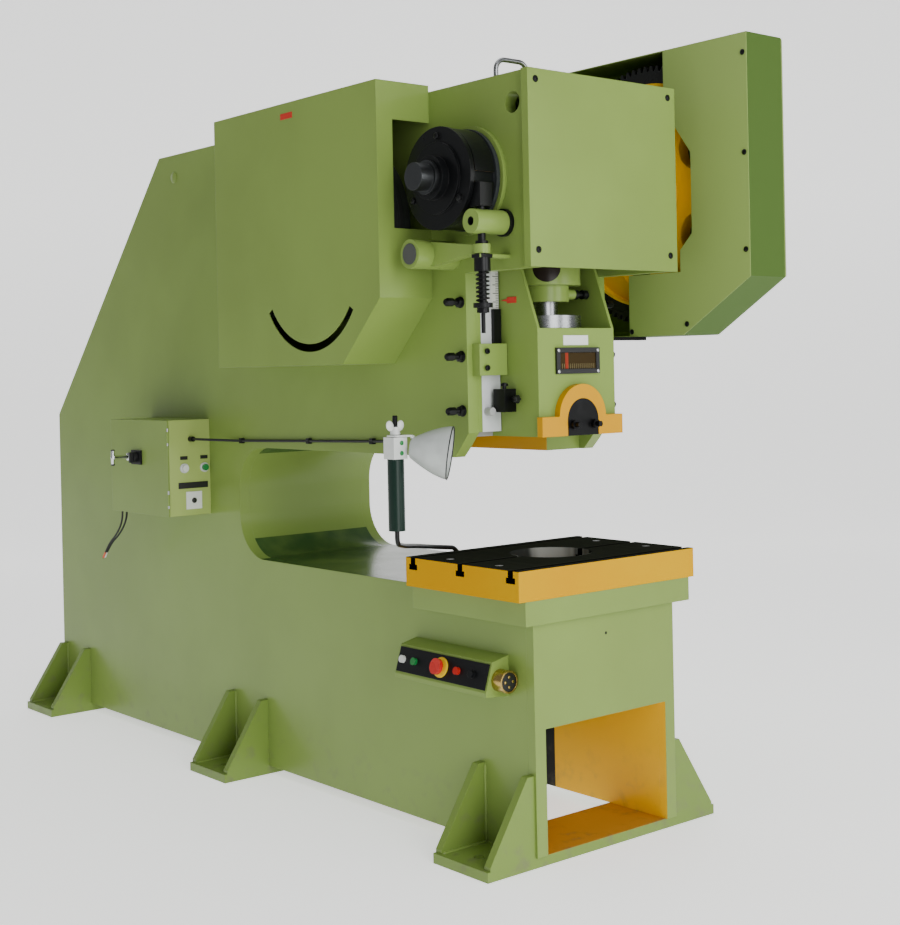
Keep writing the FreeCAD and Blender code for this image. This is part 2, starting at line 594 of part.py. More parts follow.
def toothed(teeth, middle_y, middle_z, phase, start, wide, bore):
    """A spur gear about an X axis with straight-sided teeth; one tooth points along phase."""
    module = size("module_size")
    pitch = module * teeth / 2
    half = math.pi * module / 4 - size("backlash") / 2
    slope = math.tan(math.radians(20))
    steps = ((-1.2 * module, 1.2 * module * slope), (module, -module * slope))
    corners = []
    for tooth in range(teeth):
        middle = phase + 2 * math.pi * tooth / teeth
        for hand in (-1, 1):
            for rise, more in steps[::-hand]:
                angle = middle + hand * (half + more) / pitch
                corners.append(Vector(start, middle_y + (pitch + rise) * math.cos(angle),
                                      middle_z + (pitch + rise) * math.sin(angle)))
    face = Part.Face(Part.makePolygon(corners + corners[:1]))
    blank = face.extrude(Vector(wide, 0, 0))
    hole = Part.makeCylinder(bore, wide + 2, Vector(start - 1, middle_y, middle_z),
                             Vector(1, 0, 0))
    return blank.cut(hole)


centres = size("module_size") * (size("gear_teeth") + size("pinion_teeth")) / 2
gear_at = (size("work_y"), size("crank_z"))
pinion_at = (gear_at[0] + math.sqrt(centres ** 2 - size("pinion_drop") ** 2),
             gear_at[1] - size("pinion_drop"))
towards = math.atan2(pinion_at[1] - gear_at[1], pinion_at[0] - gear_at[0])
gear_blank = made(None, toothed(int(size("gear_teeth")), *gear_at, towards, size("gear_x"),
                                size("gear_wide"), size("gear_bore")))
SIDE_CUT = "(gear_wide - gear_web)/2"
recesses = [ring("x", "gear_hub", "gear_rim", start, end, "work_y", "crank_z")
            for start, end in (("gear_x - 1", f"gear_x + {SIDE_CUT}"),
                               (f"gear_x + gear_wide - {SIDE_CUT}", "gear_x + gear_wide + 1"))]
holes = []
for step in range(5):
    turn = 2 * math.pi * step / 5
    reach = "(gear_hub + gear_rim)/2"
    holes.append(rod("x", "gear_hub*0.6", "gear_x - 1", "gear_x + gear_wide + 1",
                     f"work_y + {math.cos(turn):.6f}*{reach}",
                     f"crank_z + {math.sin(turn):.6f}*{reach}"))
fuse(cut(gear_blank, *recesses, *holes),
     ring("x", "gear_bore", "gear_hub", "hub_start", "gear_x + 1", "work_y", "crank_z"),
     ring("x", "gear_bore", "gear_hub", "gear_x + gear_wide - 1", "hub_stop", "work_y",
          "crank_z"),
     ring("x", "journal + run_gap", "gear_bore + 0.5", "hub_start", "hub_stop", "work_y",
          "crank_z"), label="bull_gear")
pinion = made(None, toothed(int(size("pinion_teeth")), *pinion_at,
                       towards + math.pi + math.pi / size("pinion_teeth"), size("gear_x"),
                       size("gear_wide"), size("pinion_seat")))
fuse(pinion,
     rod("x", "pinion_seat", "wheel_x - 8", "-face_x - 10", PINION_Y, PINION_Z),
     rod("x", "pinion_journal", "-face_x - 10", "face_x + 20", PINION_Y, PINION_Z),
     rod("x", "pinion_seat", "face_x + 19", "gear_x + gear_wide + 12", PINION_Y, PINION_Z),
     label="pinion_shaft")

# ---------------------------------------------------------------- flywheel, belts and motor

WHEEL_END = "(wheel_x + wheel_wide)"
grooves = []
pulley_grooves = []
belts = []
motor_at = (size("motor_y"), size("motor_z"))
apart = math.hypot(motor_at[0] - pinion_at[0], motor_at[1] - pinion_at[1])
heading = math.atan2(motor_at[1] - pinion_at[1], motor_at[0] - pinion_at[0])


def belt_loop(x, large, small):
    """The outline of an open belt round the flywheel and the motor pulley."""
    lean = math.acos((large - small) / apart)

    def at(middle, radius, angle):
        return Vector(x, middle[0] + radius * math.cos(angle), middle[1] + radius * math.sin(angle))

    top = (at(pinion_at, large, heading + lean), at(motor_at, small, heading + lean))
    low = (at(pinion_at, large, heading - lean), at(motor_at, small, heading - lean))
    return Part.Wire([
        Part.LineSegment(*top).toShape(),
        Part.Arc(top[1], at(motor_at, small, heading), low[1]).toShape(),
        Part.LineSegment(low[1], low[0]).toShape(),
        Part.Arc(low[0], at(pinion_at, large, heading + math.pi), top[0]).toShape()])


for step in (-1, 0, 1):
    middle = f"wheel_x + wheel_wide/2 + {step}*belt_pitch"
    edges = (f"{middle} - belt_wide/2 - 0.5", f"{middle} + belt_wide/2 + 0.5")
    grooves.append(ring("x", "wheel - belt_thick - 1", "wheel + 1", *edges, PINION_Y, PINION_Z))
    pulley_grooves.append(ring("x", "pulley - belt_thick - 1", "pulley + 1", *edges, "motor_y",
                               "motor_z"))
    left = size("wheel_x") + size("wheel_wide") / 2 + step * size("belt_pitch") - size("belt_wide") / 2
    outer, inner = [Part.Face(belt_loop(left, size("wheel") - drop, size("pulley") - drop))
                    for drop in (0.5, size("belt_thick") + 0.5)]
    belts.append(outer.extrude(Vector(size("belt_wide"), 0, 0)).cut(
        inner.extrude(Vector(size("belt_wide"), 0, 0))))
wheel_cuts = [ring("x", "wheel_hub", "wheel_rim", start, end, PINION_Y, PINION_Z)
              for start, end in (("wheel_x - 1", "wheel_x + wheel_recess"),
                                 (f"{WHEEL_END} - wheel_recess", f"{WHEEL_END} + 1"))]
cut(ring("x", "pinion_seat", "wheel", "wheel_x", WHEEL_END, PINION_Y, PINION_Z), *grooves,
    *wheel_cuts, label="flywheel")
fuse(cut(rod("x", "pulley", "wheel_x", WHEEL_END, "motor_y", "motor_z"), *pulley_grooves),
     rod("x", "motor_shaft", "wheel_x - 4", "motor_right - 20", "motor_y", "motor_z"),
     label="motor_pulley")
made("drive_belts", Part.makeCompound(belts))
cut(fuse(rod("x", "motor_radius", "motor_left", "motor_right", "motor_y", "motor_z"),
         box("motor_left + 30", "motor_right - 30", "motor_y - motor_foot",
             "motor_y + motor_foot", "motor_shelf", "motor_shelf + 30"),
         box(f"-{INNER}", INNER, "motor_y - motor_foot - 30", "motor_y + motor_foot + 30",
             "motor_shelf - shelf_thick", "motor_shelf")),
    rod("x", "motor_shaft + run_gap", "motor_left - 1", "motor_right - 19", "motor_y",
        "motor_z"), label="motor")

# ---------------------------------------------------------------- guards and cover


def guard_points(front, long, low, top, run, rise, wall):
    """A guard's side view, or the space inside its wall; the front lower corner is cut off."""
    slant = f"sqrt(({run})^2 + ({rise})^2)"
    return [
        (f"{front} + {wall}", f"{low} + {rise} + {wall}*({slant} - {rise})/({run})"),
        (f"{front} + {run} + {wall}*({slant} - {run})/({rise})", f"{low} + {wall}"),
        (f"{front} + {long} - {wall}", f"{low} + {wall}"),
        (f"{front} + {long} - {wall}", f"{top} - {wall}"), (f"{front} + {wall}", f"{top} - {wall}")]


left_shape = ("work_y + left_guard_front", "left_guard_long", "left_guard_low", "left_guard_top",
              "left_slope", "left_slope")
smile_at = Vector(0, size("work_y") + size("smile_y"), size("smile_z"))
smile_edges = []
for reach in (-0.5, 0.5):
    radius = size("smile_radius") + reach * size("smile_wide")
    ends = [smile_at + Vector(0, math.cos(math.radians(a)), math.sin(math.radians(a))) * radius
            for a in (-32, -90, -146)]
    smile_edges.append((Part.Arc(*ends).toShape(), ends[0], ends[2]))
(inner_arc, a0, a1), (outer_arc, b0, b1) = smile_edges
smile_wire = Part.Wire(Part.__sortEdges__([
    inner_arc, outer_arc, Part.LineSegment(a0, b0).toShape(), Part.LineSegment(a1, b1).toShape()]))
smile = made(None, Part.Face(smile_wire).extrude(Vector(4 * size("gauge"), 0, 0)),
             Vector(-size("left_guard_out") - size("gauge"), 0, 0))
cut(prism("YZ", "-left_guard_out", "left_guard_out - face_x", guard_points(*left_shape, "0")),
    prism("YZ", "-left_guard_out + gauge", "left_guard_out - face_x",
          guard_points(*left_shape, "gauge")), smile,
    box("-notch_out", "-face_x + 1", "work_y + left_guard_front - 1",
        "work_y + left_guard_front + gauge + 1", "notch_low", "notch_top"),
    label="flywheel_guard")

right_shape = ("work_y - right_guard_front", "right_guard_long", "right_guard_low",
               "right_guard_top", "right_slope_y", "right_slope_z")
hood = cut(prism("YZ", "right_guard_in", "right_guard_out - right_guard_in",
                 guard_points(*right_shape, "0"), rim="guard_round"),
           prism("YZ", "right_guard_in - 1", "right_guard_out - right_guard_in - gauge + 1",
                 guard_points(*right_shape, "gauge"), rim="guard_round - gauge"))
front = right_shape[0]
strips = fuse(box("right_guard_in - 1", "right_guard_out", front, "work_y - strip_back",
                  "right_guard_low", "right_guard_top"),
              box("right_guard_in - 1", "right_guard_out", front, "work_y + strip_low_back",
                  "right_guard_low", "strip_low_top"))
flange = cut(common(prism("YZ", "right_guard_in", "gauge", guard_points(*right_shape, "0")),
                    strips),
             prism("YZ", "right_guard_in - 1", "gauge + 2", [
                 ("work_y - opening_front", "crank_z - opening_low"),
                 ("work_y - opening_front", "crank_z + opening_high"),
                 ("work_y", "crank_z + opening_high + opening_slope*opening_front"),
                 ("work_y + right_guard_front",
                  "crank_z + opening_high + opening_slope*opening_front"),
                 ("work_y + right_guard_front", "strip_low_top"),
                 ("work_y - opening_front + opening_step", "strip_low_top"),
                 ("work_y - opening_front + opening_step",
                  "crank_z - opening_low - opening_step")]))
spots = [(f"{front} + 15", "right_guard_top - 59"), (f"{front} + 15", "right_guard_top - 354"),
         (f"{front} + 15", "right_guard_top - 641"), ("work_y - 176", "right_guard_low + 33"),
         ("work_y + 56", "right_guard_low + 16")]
screws = [rod("x", "cover_screw", "right_guard_in - 4", "right_guard_in", y, z)
          for y, z in spots]
brackets = []
for step in (0, 1):
    start = f"work_y + strip_low_back - bracket_wide - 4 + {step}*bracket_gap"
    brackets.append(box("face_x", "right_guard_in + 40", start, f"{start} + bracket_wide",
                        "right_guard_low - bracket_thick", "right_guard_low"))
fuse(hood, flange, *brackets, label="gear_guard")

cover_back = "work_y - head_reach"
cut(box("-cover_half", "cover_half", f"{cover_back} - 2*gauge", f"{cover_back} + cover_lip",
        "head_low", "head_top"),
    box("-(cover_half - gauge)", "cover_half - gauge", cover_back, f"{cover_back} + cover_lip + 1",
        "head_low - 1", "head_top + 1"), label="front_cover")
for side in (-1, 1):
    for z in ("head_low + cover_inset_low", "head_top - cover_inset"):
        screws.append(rod("y", "cover_screw", f"{cover_back} - 2*gauge - 4",
                          f"{cover_back} - 2*gauge", f"{side}*(cover_half - cover_inset)", z))
group("cover_screws", screws)

# ---------------------------------------------------------------- pull rod and lever

LEVER_Y = "(work_y + lever_y)"
rod_guide = cut(
    fuse(rod("x", "boss_radius", "-boss_out", "-face_x", PULL_Y, "boss_z"),
         rod("x", "boss_radius + 5", "-face_x - 12", "-face_x", PULL_Y, "boss_z")),
    rod("x", "boss_bore", "-boss_out - 1", "pull_x - 20", PULL_Y, "boss_z"),
    rod("z", "pull_radius + run_gap", "boss_z - boss_radius - 1", "boss_z + boss_radius + 1",
        "pull_x", PULL_Y))
fuse(rod("z", "pull_radius", "pull_low + 55", "pull_high", "pull_x", PULL_Y),
     rod("z", "pull_radius - 5", "pull_low", "pull_low + 56", "pull_x", PULL_Y),
     rod("z", "pull_radius + 7", "lever_z + lever_thick/2 + 1", "lever_z + lever_thick/2 + 9",
         "pull_x", PULL_Y),
     rod("z", "pull_radius + 16", "spring_low - 13", "spring_low", "pull_x", PULL_Y),
     rod("z", "pull_radius + 6", "spring_low - 27", "spring_low - 13", "pull_x", PULL_Y),
     label="pull_rod")
lever_pivot = fuse(rod("x", "lever_radius", "-lever_in", "-face_x", LEVER_Y, "lever_z"),
                   rod("x", "lever_pin", "-lever_out", "-face_x", LEVER_Y, "lever_z"))
arm = prism("YZ", "pull_x - 14", "28", [
    (PULL_Y, "lever_z - lever_thick/2"), (f"{PULL_Y} + lever_eye", "lever_z - lever_thick/2"),
    (LEVER_Y, "lever_z - lever_root"), (LEVER_Y, "lever_z + lever_root"),
    (f"{PULL_Y} + lever_eye", "lever_z + lever_thick/2"), (PULL_Y, "lever_z + lever_thick/2")])
eye = rod("z", "lever_eye", "lever_z - lever_thick/2", "lever_z + lever_thick/2", "pull_x", PULL_Y)
hub = rod("x", "lever_radius", "-lever_out + 2", "-lever_in - 1", LEVER_Y, "lever_z")
cut(fuse(arm, eye, hub),
    rod("x", "lever_pin + run_gap", "-lever_out", "-lever_in", LEVER_Y, "lever_z"),
    rod("z", "pull_radius + 1", "lever_z - lever_thick", "lever_z + lever_thick", "pull_x",
        PULL_Y), label="release_lever")
spring_cup = cut(
    fuse(box("pull_x - 24", "-face_x", f"{PULL_Y} - 20", f"{PULL_Y} + 20", "cup_high - 1",
             "lever_z - lever_thick/2 - 2"),
         rod("z", "spring_coil + 6", "spring_high", "cup_high", "pull_x", PULL_Y)),
    rod("z", "pull_radius + 1", "spring_high - 1", "lever_z", "pull_x", PULL_Y))
wire = size("spring_wire")
coil_low = size("spring_low") + wire + 0.1
coil_high = size("spring_high") - wire - 0.1
helix = Part.makeHelix((coil_high - coil_low) / size("spring_turns"), coil_high - coil_low,
                       size("spring_coil"))
section = Part.Wire([Part.makeCircle(wire, Vector(size("spring_coil"), 0, 0), Vector(0, 1, 0))])
coil = Part.Wire(helix.Edges).makePipeShell([section], True, True)
made("return_spring", coil,
     Vector(size("pull_x"), size("work_y") - size("pull_reach"), coil_low))

# ---------------------------------------------------------------- scale, stops and cam block

GIB_FRONT = "(work_y + guide_front)"
stops = [box("scale_left", "scale_right", f"{GIB_FRONT} - 2", GIB_FRONT, "scale_low - 1",
             "scale_high"),
         box("scale_left", "scale_right", f"{GIB_FRONT} - 12", GIB_FRONT, "bar_low - 1",
             "scale_low"),
         box("stop_left", "-gib_inner", f"{GIB_FRONT} - stop_deep", GIB_FRONT, "block_low",
             "bar_low")]
for z in ("block_low + 22", "bar_low - 22"):
    stops.append(rod("y", "8", f"{GIB_FRONT} - stop_deep - 5", GIB_FRONT, "stop_left + 24", z))
stops.append(rod("y", "12", f"{GIB_FRONT} - 26", GIB_FRONT, "-gib_inner - 54", "cam_low + 2"))
group("stop_block", [fuse(*stops[:-1]), stops[-1]])
cam_y = ("work_y - cam_reach", f"{GIB_FRONT} - 16")
cam_spot = ("-cam_out + 16", "work_y - cam_reach + 18")
fuse(box("-cam_out", "-ram_half", *cam_y, "cam_low", "cam_high"),
     rod("z", "6", "cam_high - 1", "cam_high + 18", *cam_spot),
     rod("z", "11", "cam_high + 8", "cam_high + 16", *cam_spot), label="cam_block")
turned("y", [(f"{cam_y[0]} - 30", "0"), (f"{cam_y[0]} - 30", "13"), (f"{cam_y[0]} - 14", "13"),
             (f"{cam_y[0]} - 14", "5"), (f"{cam_y[0]} - 1", "5"), (f"{cam_y[0]} - 1", "0")],
       "-ram_half - 18", "cam_knob_z", label="star_knob")

# ---------------------------------------------------------------- electric box

BOX_BACK = "(box_front + box_long)"
DOOR_FACE = "(-box_out - 1 - box_wall)"
wells = []
bezels = []
for colour in ("white", "green"):
    spot = (colour + "_x", "button_z")
    wells.append(rod("y", "button_radius + 0.1", "box_front - 7", "box_front + box_wall + 1",
                     *spot))
    bezels.append(rod("y", "bezel", "box_front - 6", "box_front + 1", *spot))
    rod("y", "button_radius", "box_front - 15", "box_front + 12", *spot,
        label=colour + "_button")
gland = ring("y", "cable + run_gap", "cable + 5", "box_front - 24", "box_front + 1", "gland_x",
             "gland_z")
cut(fuse(box("-box_out", "-face_x", "box_front", BOX_BACK, "box_low", "box_high"), gland,
         *bezels),
    box("-box_out - 1", "-face_x - box_wall", "box_front + box_wall", f"{BOX_BACK} - box_wall",
        "box_low + box_wall", "box_high - box_wall"), *wells, label="electric_box")
fuse(box(DOOR_FACE, "-box_out - 1", "box_front", BOX_BACK, "box_low", "box_high"),
     box(f"{DOOR_FACE} - 8", f"{DOOR_FACE} + 1", "switch_y - 40", "switch_y + 32",
         "handle_z - 26", "handle_z + 26"),
     *[rod("z", "4", z, f"{z} + 40", f"{DOOR_FACE} - 1", "box_front - 2")
       for z in ("box_low + 40", "box_high - 80")], label="box_door")
fuse(rod("x", "8", f"{DOOR_FACE} - 62", DOOR_FACE, "handle_y", "handle_z"),
     rod("x", "16", f"{DOOR_FACE} - 8", DOOR_FACE, "handle_y", "handle_z"),
     box(f"{DOOR_FACE} - 76", f"{DOOR_FACE} - 61", "handle_y - 9", "handle_y + 9",
         "handle_z - 30", "handle_z + 30"), label="door_handle")
fuse(rod("x", "20", f"{DOOR_FACE} - 20", f"{DOOR_FACE} - 8.3", "switch_y", "handle_z"),
     box(f"{DOOR_FACE} - 32", f"{DOOR_FACE} - 19", "switch_y - 5", "switch_y + 5",
         "handle_z - 19", "handle_z + 19"), label="switch_knob")
fuse(box("-face_x - box_wall - 4", "-face_x - box_wall", "box_front + 30", f"{BOX_BACK} - 30",
         "box_low + 30", "box_high - 30"),
     *[box("-face_x - box_wall - 75", "-face_x - box_wall - 3", f"box_front + {start}",
           f"box_front + {start} + 70", "box_low + 170", "box_low + 255")
       for start in (60, 150, 240)], label="contactor_panel")

# ---------------------------------------------------------------- control box on the base

DESK_FRONT = "(work_y - desk_reach)"
desk_points = [("-face_x", "desk_low"), ("-face_x", "desk_top"), ("-eave_x", "eave_z"),
               ("-sill_x", "sill_z"), ("-sill_x", "desk_low + 8")]
lean = math.atan2(size("sill_x") - size("eave_x"), size("eave_z") - size("sill_z"))
outward = Vector(-math.cos(lean), 0, math.sin(lean))
upward = Vector(math.sin(lean), 0, math.cos(lean))
face_middle = Vector(-(size("eave_x") + size("sill_x")) / 2, 0,
                     (size("eave_z") + size("sill_z")) / 2)
face_high = math.hypot(size("sill_x") - size("eave_x"), size("eave_z") - size("sill_z"))
tilt = Rotation(Vector(0, 0, 1), outward)


def on_panel(y, out, radius, long, shape="Part::Cylinder", label=None):
    """A round piece square to the sloping panel, its base that far outside the face."""
    thing = add(shape, label)
    thing.Placement = Placement(Vector(0, 0, 0), tilt)
    place = face_middle + outward * out
    thing.setExpression("Placement.Base.x", f"-(dims.eave_x + dims.sill_x)/2 + {outward.x * out:.6f}")
    thing.setExpression("Placement.Base.y", ref(y))
    thing.setExpression("Placement.Base.z", f"(dims.eave_z + dims.sill_z)/2 + {place.z - face_middle.z:.6f}")
    thing.setExpression("Radius", ref(radius))
    thing.setExpression("Height", str(long))
    return thing


KNOBS = (("start_button", "work_y + 262"), ("jog_button", "work_y + 207"))
LAMPS = ("work_y + 11", "work_y - 53")
STOP_Y = "(work_y + stop_y)"
knob_wells = [on_panel(y, -9, "knob + 0.1", 20) for name, y in KNOBS]
knob_wells.append(on_panel(STOP_Y, -9, "knob + 0.1", 20))
reach = face_high / 2 - size("panel_inset")
drop = size("panel_thick")
flat = [face_middle + upward * reach, face_middle - upward * reach]
panel_corners = [flat[0], flat[1], flat[1] + outward * drop, flat[0] + outward * drop]
panel_face = Part.Face(Part.makePolygon([Vector(p.x, 0, p.z) for p in panel_corners]
                                        + [Vector(panel_corners[0].x, 0, panel_corners[0].z)]))
panel_slab = made(None, panel_face.extrude(Vector(0, size("desk_long") - 14, 0)),
                  Vector(0, size("work_y") - size("desk_reach") + 7, 0))
collar = on_panel(STOP_Y, 3, "stop_head + 6", 6)
lenses = [on_panel(y, 3, "knob", 12) for y in LAMPS]
cut(fuse(panel_slab, collar, *lenses), *knob_wells, label="control_panel")
hollow = [("-face_x - 3", "desk_low + 8"), ("-face_x - 3", "desk_top - 8"),
          ("-eave_x + 3", "eave_z - 8"), ("-sill_x + 8", "sill_z + 2"),
          ("-sill_x + 8", "desk_low + 12")]
desk_wells = [on_panel(y, -14, "knob + 0.1", 24) for name, y in KNOBS]
desk_wells.append(on_panel(STOP_Y, -14, "knob + 0.1", 24))
cut(prism("XZ", DESK_FRONT, "desk_long", desk_points),
    prism("XZ", f"{DESK_FRONT} + gauge", "desk_long - 2*gauge", hollow), *desk_wells,
    label="control_box")
for name, y in KNOBS:
    on_panel(y, -8, "knob", 22, label=name)
stem = on_panel(STOP_Y, -8, "knob", 28)
cap = on_panel(STOP_Y, 18, "stop_head", 12)
fuse(stem, cap, label="stop_button")
pins = [rod("y", "4", f"{DESK_FRONT} - socket_long + 1", f"{DESK_FRONT} - socket_long + 5",
            f"socket_x + {dx}", f"socket_z + {dz}")
        for dx, dz in ((0, 14), (14, 0), (0, -14), (-14, 0))]
fuse(cut(rod("y", "socket", f"{DESK_FRONT} - socket_long", DESK_FRONT, "socket_x", "socket_z"),
         rod("y", "socket - 5", f"{DESK_FRONT} - socket_long - 1",
             f"{DESK_FRONT} - socket_long + 4", "socket_x", "socket_z")), *pins,
     label="desk_socket")

# ---------------------------------------------------------------- lamp

LAMP_Y = "(work_y + lamp_y)"
lamp = Vector(size("lamp_x"), size("work_y") + size("lamp_y"), 0)
grip = rod("z", "grip", "grip_low", "lamp_low", "lamp_x", LAMP_Y)
cut(box("lamp_x - lamp_half", "lamp_x + lamp_half", f"{LAMP_Y} - lamp_half",
        f"{LAMP_Y} + lamp_half", "lamp_low", "lamp_high"),
    rod("y", "cable + 1.5", f"{LAMP_Y} + lamp_half - 20", f"{LAMP_Y} + lamp_half + 1",
        "lamp_x", "lamp_low + 45"), label="lamp_head")
base_at = (size("lamp_base_x"), size("work_y") + size("lamp_base_y"))
low = size("grip_low")
route = [Vector(lamp.x, lamp.y, low + 1), Vector(lamp.x, lamp.y, low - 38),
         Vector(lamp.x + 60, lamp.y + 46, low - 52), Vector(lamp.x + 150, lamp.y + 104, low - 64),
         Vector(lamp.x + 250, lamp.y + 152, low - 80), Vector(*base_at, low - 96),
         Vector(*base_at, size("arm_top") + 9)]
stand, stand_radii = bent_tube(route, size("lamp_wire"))
fuse(grip, made(None, stand),
     rod("z", "38", "arm_top", "arm_top + 10", "lamp_base_x", "work_y + lamp_base_y"),
     label="lamp_stand")
aim = Vector(0.7, -0.7, -0.15).normalize()
shade_points = [("0", "shade_neck - 4"), ("0", "shade_neck"), ("shade_long*0.3", "shade_neck + 14"),
                ("shade_long*0.65", "shade_neck + 36"), ("shade_long", "shade"),
                ("shade_long", "shade - shade_wall"),
                ("shade_long*0.65", "shade_neck + 36 - shade_wall"),
                ("shade_long*0.3", "shade_neck + 14 - shade_wall"),
                ("shade_wall", "shade_neck - 4")]
shade = turned("z", shade_points, "lamp_x", LAMP_Y)
start = lamp + Vector(0, 0, size("lamp_high") - 24) + aim * size("shade_start")
shade.Placement = Placement(start, Rotation(Vector(0, 0, 1), aim))
shade.setExpression("Placement.Base.x", f"dims.lamp_x + {aim.x:.6f}*dims.shade_start")
shade.setExpression("Placement.Base.y",
                    f"dims.work_y + dims.lamp_y + {aim.y:.6f}*dims.shade_start")
shade.setExpression("Placement.Base.z",
                    f"dims.lamp_high - 24 + {aim.z:.6f}*dims.shade_start")
neck_start = start - aim * 3
neck = Part.makeCylinder(size("shade_neck") - 4, 3 + size("shade_wall"), neck_start, aim)
flat_aim = Vector(aim.x, aim.y, 0).normalize()
across = Vector(-flat_aim.y, flat_aim.x, 0)
lift = Vector(0, 0, size("lamp_high") + 1)
strap_corners = [lamp + lift + across * 14, lamp + lift - across * 14,
                 lamp + lift + flat_aim * 50 - across * 14, lamp + lift + flat_aim * 50 + across * 14]
strap = Part.Face(Part.makePolygon(strap_corners + strap_corners[:1])).extrude(Vector(0, 0, 5))
web_start = lamp + flat_aim * (size("shade_start") + 1) + Vector(0, 0, size("lamp_high") - 4)
web_corners = [web_start - across * 7, web_start + flat_aim * 8 - across * 7,
               web_start + flat_aim * 8 + across * 7, web_start + across * 7]
web_face = Part.Face(Part.makePolygon(web_corners + web_corners[:1]))
web = web_face.extrude(Vector(0, 0, 8))
disc = Part.makeCylinder(24, 5, lamp + lift)
hole = Part.makeCylinder(8.1, 9, lamp + lift - Vector(0, 0, 2))
bracket = made(None, neck.fuse([strap, web, disc]).cut(hole).removeSplitter())
fuse(shade, bracket, label="lamp_shade")
bulb_ball = Part.makeSphere(26, start + aim * 62)
bulb_neck = Part.makeCylinder(13, 40, start + aim * (size("shade_wall")), aim)
made("lamp_bulb", bulb_ball.fuse(bulb_neck).removeSplitter())
NUT_Z = "lamp_high + 7"
fuse(rod("z", "8", "lamp_high", "lamp_high + 62", "lamp_x", LAMP_Y),
     rod("z", "14", NUT_Z, f"{NUT_Z} + 22", "lamp_x", LAMP_Y),
     box("lamp_x - 32", "lamp_x + 32", f"{LAMP_Y} - 4", f"{LAMP_Y} + 4", f"{NUT_Z} + 12",
         f"{NUT_Z} + 40"), label="wing_nut")

# ---------------------------------------------------------------- lamp cable and supply wires

wall = -size("face_x") - 9
gland = Vector(size("gland_x"), size("box_front") - 24, size("gland_z"))
entry = Vector(lamp.x, lamp.y + size("lamp_half"), size("lamp_low") + 45)
run = (Vector(wall, 45, 1146), Vector(wall, -800, 1164))
cable_route = [gland, gland + Vector(0, -36, 0), Vector(-338, 132, 1149), Vector(-304, 88, 1147),
               *run, Vector(-306, -850, 1166), Vector(-342, -918, 1168), Vector(-396, -986, 1167),
               Vector(-450, -1044, 1168), entry]
cable, cable_radii = bent_tube(cable_route, size("cable"))
made("lamp_cable", cable)
clips = []
for y in (5, -410, -760):
    along = (run[1] - run[0]) * ((45 - y) / (45 - run[1].y))
    middle = run[0] + along
    strap = Part.makeBox(14, 16, 18, middle + Vector(-5, -8, -9))
    groove = Part.makeCylinder(size("cable") + 0.2, 60, middle - along.normalize() * 30, along)
    clips.append(strap.cut(groove))
clip_set = made(None, Part.makeCompound(clips))
group("left_side_mounts", [rod_guide, lever_pivot, spring_cup, clip_set])

low = size("box_low")
for name, shift, drift in (("left", -9, -1), ("right", 9, 0)):
    route = [Vector(-420 + shift, 640, low), Vector(-420 + shift, 640, low - 26),
             Vector(-421 + 0.8 * shift, 662, low - 66),
             Vector(-422 + 0.7 * shift, 706 + drift, low - 104),
             Vector(-424 + 0.6 * shift, 764 + 4 * drift, low - 139),
             Vector(-425 + 0.6 * shift, 812 + 8 * drift, low - 194)]
    wire, wire_radii = bent_tube(route, size("supply_wire"))
    made("supply_wire_" + name, wire)
    print("supply wire radii", name, wire_radii)
print("lamp cable radii", cable_radii, "bail", bail_radii, "lamp rod", stand_radii)

# ---------------------------------------------------------------- checks and export

doc.recompute()
for thing in doc.Objects:
    if "Invalid" in thing.State or "Error" in thing.State:
        raise RuntimeError(f"{thing.Label} did not build: {thing.State}")
for label, thing in nodes.items():
    shape = thing.Shape
    if shape.isNull() or not shape.isValid() or not shape.Solids:
        raise RuntimeError(f"{label} has no valid solid")
if len(nodes) > 60:
    raise RuntimeError("more than 60 sub-parts")
os.makedirs("parts", exist_ok=True)
for label, thing in nodes.items():
    thing.Shape.exportStep(f"parts/{label}.step")
print(len(nodes), "sub-parts")
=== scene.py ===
import math

import bmesh
import bpy
from mathutils import Matrix, Vector


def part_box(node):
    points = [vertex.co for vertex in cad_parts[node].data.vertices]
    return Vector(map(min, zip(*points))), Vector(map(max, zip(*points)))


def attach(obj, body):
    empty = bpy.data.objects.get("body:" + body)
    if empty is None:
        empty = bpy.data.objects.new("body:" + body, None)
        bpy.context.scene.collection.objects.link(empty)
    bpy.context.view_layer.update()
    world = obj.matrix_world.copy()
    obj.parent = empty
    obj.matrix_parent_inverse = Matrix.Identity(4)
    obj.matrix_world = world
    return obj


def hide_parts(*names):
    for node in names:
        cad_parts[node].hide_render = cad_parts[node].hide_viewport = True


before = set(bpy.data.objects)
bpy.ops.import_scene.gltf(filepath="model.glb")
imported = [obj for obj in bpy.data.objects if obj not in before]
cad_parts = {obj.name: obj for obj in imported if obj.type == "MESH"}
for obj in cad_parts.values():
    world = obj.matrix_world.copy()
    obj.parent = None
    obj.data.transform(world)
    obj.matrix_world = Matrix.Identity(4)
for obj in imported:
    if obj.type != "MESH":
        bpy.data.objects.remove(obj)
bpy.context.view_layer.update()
MM = 0.001

# Main places of the press, in millimetres.
WORK_Y = -1247  # the middle of the ram, the crank and the table
CRANK_Z = 1919
FACE_X = 284  # outer faces of the side plates
FOOT_PITCH = 1348
FOOT_TOP = 29

# ---------------------------------------------------------------- camera


